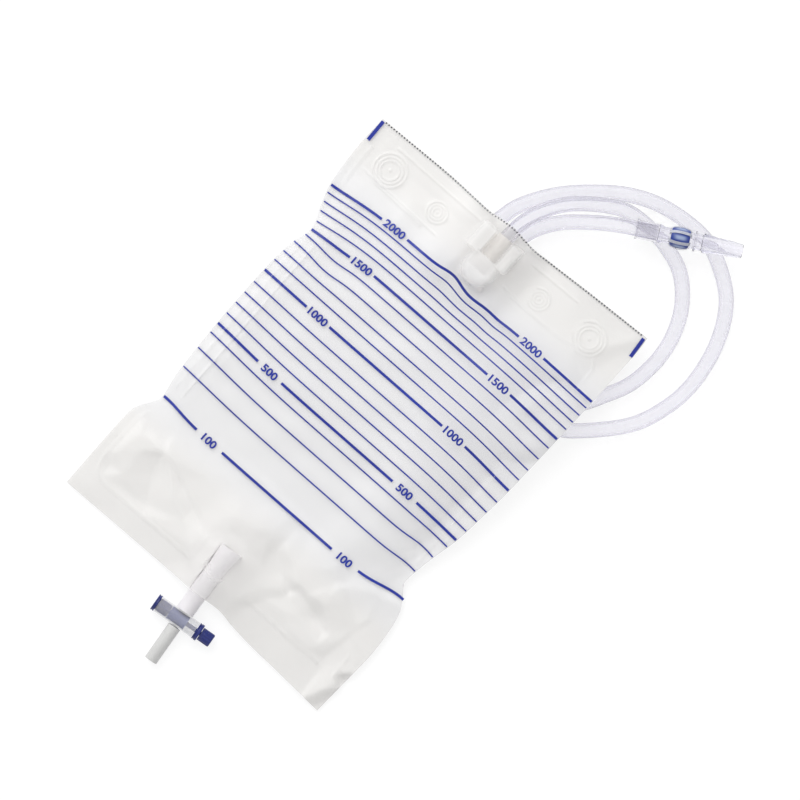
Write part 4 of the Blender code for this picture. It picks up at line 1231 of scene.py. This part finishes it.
# %% Sleeve
SLEEVE_WALL = 0.0003
SLEEVE_GRIP = 0.005
SLEEVE_LENGTH = 0.020
SLEEVE_FLAT = 0.0016
SLEEVE_GIRTH = 0.98  # of a quarter of the round sleeve's girth, as the half width where it is flat
SLEEVE_SINK = 0.8  # how far its middle sinks, as a share of what it loses in height


def sleeve_wall(inset):
    """Rings of the sleeve: the half width goes from the port's radius to half of its flattened girth, and
    the half height from that radius to the flat end's."""
    share = np.linspace(0, 1, 41)[:, None]
    turns = np.linspace(0, 2 * math.pi, 56, endpoint=False)[None, :]
    closing = ease((share * SLEEVE_LENGTH - SLEEVE_GRIP) / (SLEEVE_LENGTH - SLEEVE_GRIP))
    wide = SLEEVE_R + (math.pi * SLEEVE_R / 2 * SLEEVE_GIRTH - SLEEVE_R) * closing - inset
    full = SLEEVE_R + (SLEEVE_FLAT / 2 - SLEEVE_R) * closing
    middle = PORT_HEIGHT + (full - SLEEVE_R) * SLEEVE_SINK
    return at(wide * np.cos(turns), PORT_END - SLEEVE_GRIP + share * SLEEVE_LENGTH,
              middle + (full - inset) * np.sin(turns))


dress("film_sleeve", hollow(sleeve_wall(0.0), sleeve_wall(SLEEVE_WALL)), "sleeve_film",
      instead_of=["reflux_sleeve"])

# %% [markdown]
# ## The connector and its sampling port
#
# The connector is clear hard plastic: a socket that holds the tube, a neck with the blue sampling sleeve
# round it, a thin flange, and a stepped nozzle that pushes into a catheter. A needle goes through the blue
# rubber, which closes again. Clear ribs hold the rubber, so it shows blue in the windows between them.

# %% Connector
CONNECTOR_LENGTH = 0.0714
SOCKET_OD = 0.0124
SOCKET_RIM = 0.0136
RIM_LENGTH = 0.0015
SOCKET_LENGTH = 0.0165
SOCKET_DEPTH = 0.015
NECK_OD = 0.0105
SAMPLING_AT = 0.0295
SAMPLING_OD = 0.0138
SAMPLING_LENGTH = 0.0126
SAMPLING_SEAT = 0.0084
FLANGE_AT = 0.0395
FLANGE_OD = 0.0136
FLANGE_THICK = 0.0012
NOZZLE_OD = 0.0109
NOZZLE_BORE = 0.0064
BARBS = [(0.0453, 0.0134, 0.0106), (0.0559, 0.0112, 0.0103), (0.0616, 0.0109, 0.0092)]
BARB_STEP = 0.0008
NOZZLE_ROUND = 0.0006
(x0, t0), (x1, t1) = CONNECTOR_START, CONNECTOR_END
connector_place = place_at(at(x0, t0, CONNECTOR_HEIGHT), turn=math.atan2(t0 - t1, x1 - x0))
neck, seat, flange = NECK_OD / 2, SAMPLING_SEAT / 2, FLANGE_THICK / 2
left_end = SAMPLING_AT - SAMPLING_LENGTH / 2 - CLEAR
right_end = SAMPLING_AT + SAMPLING_LENGTH / 2 + CLEAR
connector_profile = [
    (0, SOCKET_RIM / 2), (RIM_LENGTH, SOCKET_RIM / 2), (RIM_LENGTH, SOCKET_OD / 2),
    (SOCKET_LENGTH, SOCKET_OD / 2), (SOCKET_LENGTH + RIM_LENGTH, neck), (left_end, neck), (left_end, seat),
    (right_end, seat), (right_end, neck),
    (FLANGE_AT - flange, neck), (FLANGE_AT - flange, FLANGE_OD / 2), (FLANGE_AT + flange, FLANGE_OD / 2),
    (FLANGE_AT + flange, NOZZLE_OD / 2),
]
foot = NOZZLE_OD
for place, width, taper in BARBS:
    connector_profile += [(place - BARB_STEP, foot / 2), (place, width / 2)]
    foot = taper
connector_profile += [
    (CONNECTOR_LENGTH - NOZZLE_ROUND, foot / 2), (CONNECTOR_LENGTH, foot / 2 - NOZZLE_ROUND),
    (CONNECTOR_LENGTH, NOZZLE_BORE / 2), (SOCKET_DEPTH, NOZZLE_BORE / 2), (SOCKET_DEPTH, TUBE_R + CLEAR),
    (0, TUBE_R + CLEAR),
]
connector_shape = turned(rounded(connector_profile, 0.0003), connector_place)
connector_body = dress("connector", connector_shape, "clear_plastic",
                       instead_of=["connector_body"])

# %% Sampling sleeve
WINDOW_APART = math.pi / 3  # the turn from one window to the next
WINDOW_TURN = 0.20  # half a window's width, as a share of the turn from one to the next
WINDOW_LENGTH = 0.30  # half its length, as a share of the sleeve's
half_sleeve = SAMPLING_LENGTH / 2
swell = np.linspace(-math.pi / 2, math.pi / 2, 33)
round_sleeve = np.stack([SAMPLING_AT + half_sleeve * np.sin(swell),
                         neck + (SAMPLING_OD / 2 - neck) * np.cos(swell)], axis=1)
hole = [(SAMPLING_AT + half_sleeve, seat + CLEAR), (SAMPLING_AT - half_sleeve, seat + CLEAR)]
sampling_shape = turned(np.concatenate([round_sleeve, hole]), connector_place)
sampling_sleeve = dress("sampling_port", sampling_shape, "sampling_rubber",
                        instead_of=["sampling_sleeve"])
corners = np.empty(len(sampling_sleeve.data.vertices) * 3)
sampling_sleeve.data.vertices.foreach_get("co", corners)
local = np.c_[corners.reshape(-1, 3), np.ones(len(corners) // 3)] @ np.linalg.inv(connector_place).T
# The middle of each window between the ribs is painted a paler blue, a painted highlight; towards the ribs
# the rubber stays dark, as painted shade.
from_window = (np.arctan2(local[:, 1], local[:, 2]) / WINDOW_APART + 0.5) % 1.0 - 0.5
from_middle = (local[:, 0] - SAMPLING_AT) / (WINDOW_LENGTH * SAMPLING_LENGTH)
window_highlight = np.exp(-(from_window / WINDOW_TURN) ** 4 - from_middle ** 4)
window = sampling_sleeve.data.attributes.new("window", "FLOAT", "POINT")
window.data.foreach_set("value", window_highlight.astype(np.float32))
print("the middle of each window is", round(float(window_highlight.max()), 2), "pale")

# %% Cage round the sleeve
CAGE_OD = 0.0154
CAGE_LENGTH = 0.0146
CAGE_RIBS = 6
CAGE_RIB = 0.0021
CAGE_FOOT = 0.0005
RIB_POWER = 0.5


def cage_rib(turn, sides=16):
    """One rib: a rounded rectangle carried along the space between two arcs, an inner one just over the
    rubber and an outer one, with both ends sunk into the neck. turn is its angle round the axis."""
    sweep = np.linspace(-math.pi / 2, math.pi / 2, 25)[:, None]
    corner = np.linspace(0, 2 * math.pi, sides, endpoint=False)[None, :]
    width, level = squared(corner, RIB_POWER)
    share = (level + 1) / 2
    low = neck - CAGE_FOOT
    inner_x = (half_sleeve + 1.5 * CLEAR) * np.sin(sweep)
    outer_x = CAGE_LENGTH / 2 * np.sin(sweep)
    inner_r = neck + (SAMPLING_OD / 2 + CLEAR - neck) * np.cos(sweep)
    outer_r = low + (CAGE_OD / 2 - low) * np.cos(sweep)
    x = SAMPLING_AT + inner_x + (outer_x - inner_x) * share
    r = inner_r + (outer_r - inner_r) * share
    y = np.broadcast_to(CAGE_RIB / 2 * width, r.shape)
    local = np.stack([x, y * math.cos(turn) - r * math.sin(turn), y * math.sin(turn) + r * math.cos(turn),
                      np.ones_like(r)], axis=-1)
    first, last = (np.broadcast_to(end.mean(axis=1, keepdims=True), end.shape)
                   for end in (local[:1], local[-1:]))
    local = np.concatenate([first, local, last])
    return placed(local, connector_place), grid_faces(len(local), sides, around=True)


cage = [cage_rib((k + 0.5) * 2 * math.pi / CAGE_RIBS) for k in range(CAGE_RIBS)]
sampling_cage = dress("sampling_cage", join(cage), "rib_plastic", merge=True)

# %% Where the tube leaves the port
port_exit = at(0, PORT_MOUTH, PORT_HEIGHT)

# %% [markdown]
# ## The outlet tube and the drain valve
#
# The outlet tube is welded into the bottom edge. Its inner end is flared. The valve is a clear barrel across
# the tube's end, with a blue plunger in it: an end disc, a cross-shaped stem, a waisted rubber plug over
# the duct, a thin rod and a ribbed knob. Pushing the knob moves the plug off the duct.

# %% Outlet tube
VALVE_BELOW = 0.0176
OUTLET_BORE = 0.0092
OUTLET_INSIDE = 0.020
FLARE_LENGTH = 0.0194
FLARE_OFFSET = -0.0020
BARREL_OD = 0.0115
outlet_place = place_at(at(OUTLET_X, VALVE_T, VALVE_HEIGHT), OUTLET_TURN, OUTLET_RISE)


def outlet_wall(width, count=60, sides=56):
    """Rings round the outlet's axis, wider along the flare and drawn a little to the left at its end."""
    start = BARREL_OD / 2 + CLEAR
    parallel = VALVE_BELOW + OUTLET_INSIDE
    end = parallel + FLARE_LENGTH
    y = np.linspace(start, end, count)[:, None]
    turns = np.linspace(0, 2 * math.pi, sides, endpoint=False)[None, :]
    radius = width / 2 + (FLARE_OD - OUTLET_OD) / 2 * ease((y - parallel) / FLARE_LENGTH)
    shift = -FLARE_OFFSET * ((y - start) / (end - start)) ** 2
    parts = np.broadcast_arrays(shift + radius * np.cos(turns), y, radius * np.sin(turns), 1.0)
    local = np.stack(parts, axis=-1)
    return (local @ outlet_place.T)[..., :3]


dress("outlet_hose", hollow(outlet_wall(OUTLET_OD), outlet_wall(OUTLET_BORE)), "outlet_pvc",
      instead_of=["outlet_tube"])

# %% Valve barrel
BARREL_BORE = 0.0100
BARREL_LEFT = 0.0172
BARREL_RIGHT = 0.0128
BARREL_LIP = 0.0006
INLET_SPIGOT = 0.017
OUTLET_SPIGOT = 0.014
DUCT_BORE = 0.0062
DRAIN_BORE = 0.0040
SPOUT_OD = 0.0090
SPOUT_BORE = 0.0062
SPOUT_END = 0.0334
SPIGOT_START = BARREL_OD / 2 - 0.0004  # just inside the barrel's wall
outside, bore = BARREL_OD / 2, BARREL_BORE / 2
lip = outside + BARREL_LIP / 2
barrel_profile = [(-BARREL_LEFT, lip), (BARREL_LIP - BARREL_LEFT, lip), (BARREL_LIP - BARREL_LEFT, outside),
                  (BARREL_RIGHT - BARREL_LIP, outside), (BARREL_RIGHT - BARREL_LIP, lip), (BARREL_RIGHT, lip),
                  (BARREL_RIGHT, bore), (-BARREL_LEFT, bore)]
up_way, down_way = (np.array(Matrix.Rotation(math.radians(angle), 4, "Z")) for angle in (90, -90))
barrel_parts = [turned(rounded(barrel_profile, 0.00025), outlet_place)]
for way, length, radius, duct in ((up_way, INLET_SPIGOT, OUTLET_BORE / 2 - CLEAR, DUCT_BORE / 2),
                                  (down_way, OUTLET_SPIGOT, SPOUT_BORE / 2 - CLEAR, DRAIN_BORE / 2)):
    profile = [(SPIGOT_START, radius), (length, radius), (length, duct), (SPIGOT_START, duct)]
    barrel_parts.append(turned(rounded(profile, 0.0002), outlet_place @ way, sides=40))
dress("valve_barrel", join(barrel_parts), "barrel_plastic", instead_of=["valve_body"])

# %% Collar
COLLAR_OD = 0.0120
COLLAR_LENGTH = 0.0033
COLLAR_BAND = 0.0008
COLLAR_GROOVE = 0.0005
GROOVE_DEPTH = 0.0004
start = BARREL_RIGHT + CLEAR
end = start + COLLAR_LENGTH
groove_start = start + COLLAR_BAND
groove_end = groove_start + COLLAR_GROOVE
outside, hole_r = COLLAR_OD / 2, BARREL_BORE / 2
collar_profile = [(start, outside), (groove_start, outside), (groove_start, outside - GROOVE_DEPTH),
                  (groove_end, outside - GROOVE_DEPTH), (groove_end, outside), (end, outside), (end, hole_r),
                  (start, hole_r)]
dress("blue_collar", turned(rounded(collar_profile, 0.0002), outlet_place), "blue_plastic",
      instead_of=["valve_collar"])

# %% Plunger
END_DISC_OD = 0.0120
END_DISC = 0.0023
STEM_WIDTH = 0.0088
STEM_RIB = 0.0012
ROD_OD = 0.0030
SEAL_LEFT = 0.0080
SEAL_RIGHT = 0.0055
SEAL_WAIST = 0.0088
RUN = 0.0003
KNOB_OD = 0.0093
KNOB_LENGTH = 0.0089
KNOB_RIBS = 12
KNOB_CHAMFER = 0.0005
RIB_DEPTH = 0.00045
RIBS_START = 0.0008  # from the knob's inner face
KNOB_CORNER = 0.0005  # how far the rounding of the inner face's corners reaches
KNOB_ROWS = 8  # rows of points that carry the grooves
KNOB_ROWS_INSET = (0.0009, 0.0012)  # from the knob's inner and outer face
disc_face = -BARREL_LEFT - CLEAR
disc_back = disc_face - END_DISC
third = END_DISC / 3
disc, rod, groove = END_DISC_OD / 2, ROD_OD / 2, GROOVE_DEPTH
knob_start = BARREL_RIGHT + CLEAR + COLLAR_LENGTH + CLEAR
knob_end = knob_start + KNOB_LENGTH
knob = KNOB_OD / 2
core = [(disc_back, 0), (disc_back, disc), (disc_back + third, disc), (disc_back + third, disc - groove),
        (disc_face - third, disc - groove), (disc_face - third, disc), (disc_face, disc), (disc_face, rod),
        (knob_start, rod), (knob_start, knob), (knob_end - KNOB_CHAMFER, knob),
        (knob_end, knob - KNOB_CHAMFER), (knob_end, 0)]


def ribbed(x, r, angle):
    """Shallow grooves along the knob: r less a part that swings evenly KNOB_RIBS times round."""
    on_knob = ease((x - knob_start - RIBS_START) / RIBS_START) * fades(r / knob, 0.8, 0.9)
    return r - RIB_DEPTH * on_knob * ease(0.5 + 1.5 * np.cos(KNOB_RIBS * angle))


core_profile = rounded(core, 0.00035, closed=False)
knob_x = np.linspace(knob_start + KNOB_ROWS_INSET[0], knob_end - KNOB_ROWS_INSET[1], KNOB_ROWS)
knob_rows = np.stack([knob_x, np.full(KNOB_ROWS, knob)], axis=1)
before_knob = core_profile[:, 0] <= knob_start + KNOB_CORNER
core_profile = np.concatenate([core_profile[before_knob], knob_rows, core_profile[~before_knob]])
core_shape = turned(core_profile, outlet_place, sides=96, closed=False, squeeze=ribbed)
stem_end = -SEAL_LEFT - CLEAR
ribs = [slab((disc_face - CLEAR, -wide / 2, -thick / 2), (stem_end, wide / 2, thick / 2), outlet_place,
             bevel=0.0001)
        for wide, thick in ((STEM_WIDTH, STEM_RIB), (STEM_RIB, STEM_WIDTH))]
dress("push_plunger", join([core_shape, *ribs]), "blue_plastic", body="plunger",
      instead_of=["valve_plunger"], sharp=30, merge=True)

# %% Rubber plug
waist = SEAL_WAIST / 2
lip = BARREL_BORE / 2 - RUN
middle = (SEAL_RIGHT - SEAL_LEFT) / 2
half_plug = (SEAL_RIGHT + SEAL_LEFT) / 2
share = np.linspace(-1, 1, 41)
saddle = np.stack([middle + half_plug * share, waist + (lip - waist) * share ** 2], axis=1)
plug_profile = np.concatenate([saddle, [(SEAL_RIGHT, rod + CLEAR), (-SEAL_LEFT, rod + CLEAR)]])
dress("rubber_plug", turned(plug_profile, outlet_place), "blue_rubber", body="plunger",
      instead_of=["plunger_seal"])

# %% Spout
spout_start = BARREL_OD / 2 + CLEAR
spout_profile = [(spout_start, SPOUT_OD / 2), (SPOUT_END, SPOUT_OD / 2), (SPOUT_END, SPOUT_BORE / 2),
                 (spout_start, SPOUT_BORE / 2)]
dress("drain_tip", turned(rounded(spout_profile, 0.0003), outlet_place @ down_way), "spout_pvc",
      instead_of=["drain_spout"])

# %% [markdown]
# ## The table and the light
#
# The photograph has a pure white ground. The table looks white to the camera, and to what glossy and clear
# pieces show of it, by a part that shines by itself; the rest of it is plain white paint, so the bag still
# throws its soft shadow. The light is a bright even room and one large soft lamp from the top of the
# picture, a little to its left, which gives the creases their bright and dark sides.

# %% Table
TABLE_SIZE = 6.0
PAINT = 0.85  # for the light that falls on the bag
SHOWN_PAINT = 0.28  # for what the camera sees, together with the glow
GLOW = 0.80


def shown(tree):
    """1 for what the camera sees, plainly or by way of glossy and clear pieces, and 0 for all other light."""
    path = tree.nodes.new("ShaderNodeLightPath")
    share = path.outputs["Is Camera Ray"]
    for kind in ("Is Glossy Ray", "Is Transmission Ray"):
        share = node(tree, "Math", {0: share, 1: path.outputs[kind]}, operation="MAXIMUM").outputs[0]
    return share


table_paint = bpy.data.materials.new("table_paint")
table_paint.use_nodes = True
tree = table_paint.node_tree
tree.nodes.remove(tree.nodes["Principled BSDF"])
paint, thin_paint = (node(tree, "BsdfDiffuse", {"Color": (tone, tone, tone, 1.0)}).outputs[0]
                     for tone in (PAINT, SHOWN_PAINT))
glow = node(tree, "Emission", {"Strength": GLOW}).outputs[0]
glowing = node(tree, "AddShader", {0: thin_paint, 1: glow}).outputs[0]
choose = node(tree, "MixShader", {"Fac": shown(tree), 1: paint, 2: glowing})
tree.links.new(choose.outputs[0], tree.nodes["Material Output"].inputs["Surface"])
table_corners = np.array([[-1, -1, 0], [1, -1, 0], [1, 1, 0], [-1, 1, 0]]) * TABLE_SIZE / 2
table_mesh = mesh_from("table", table_corners, np.array([[0, 1, 2, 3]]))
table_mesh.materials.append(table_paint)
table = bpy.data.objects.new("table", table_mesh)
bpy.context.collection.objects.link(table)
print("the table is", TABLE_SIZE, "m wide")

# %% Lamps
ROOM_LIGHT = 0.605
LAMP_POWER = 70.0
LAMP_SIZE = 3.2
LAMP_DISTANCE = 3.2
LAMP_WAY = (1.0, -0.35, 0.9)  # towards the picture's top, towards its right, and up
world = bpy.data.worlds.new("room")
world.use_nodes = True
tree = world.node_tree
strength = node(tree, "MapRange", {"Value": shown(tree), "To Min": ROOM_LIGHT, "To Max": 1.0})
background = tree.nodes["Background"]
background.inputs["Color"].default_value = (1.0, 1.0, 1.0, 1.0)
tree.links.new(strength.outputs["Result"], background.inputs["Strength"])
bpy.context.scene.world = world


def lamp(name, power, size, to_picture_top, to_picture_right, height):
    """A square lamp that faces the bag, at a place given in the picture's own directions."""
    data = bpy.data.lights.new(name, "AREA")
    data.energy = power
    data.size = size
    made = bpy.data.objects.new(name, data)
    bpy.context.collection.objects.link(made)
    right = Vector((math.cos(VIEW_TURN), math.sin(VIEW_TURN), 0))
    top = Vector((-math.sin(VIEW_TURN), math.cos(VIEW_TURN), 0))
    direction = (top * to_picture_top + right * to_picture_right + Vector((0, 0, height))).normalized()
    made.location = Vector((*VIEW_MIDDLE, 0)) + direction * LAMP_DISTANCE
    made.rotation_euler = direction.to_track_quat("Z", "Y").to_euler()


lamp("key_lamp", LAMP_POWER, LAMP_SIZE, *LAMP_WAY)
bpy.context.scene.view_settings.view_transform = "Standard"
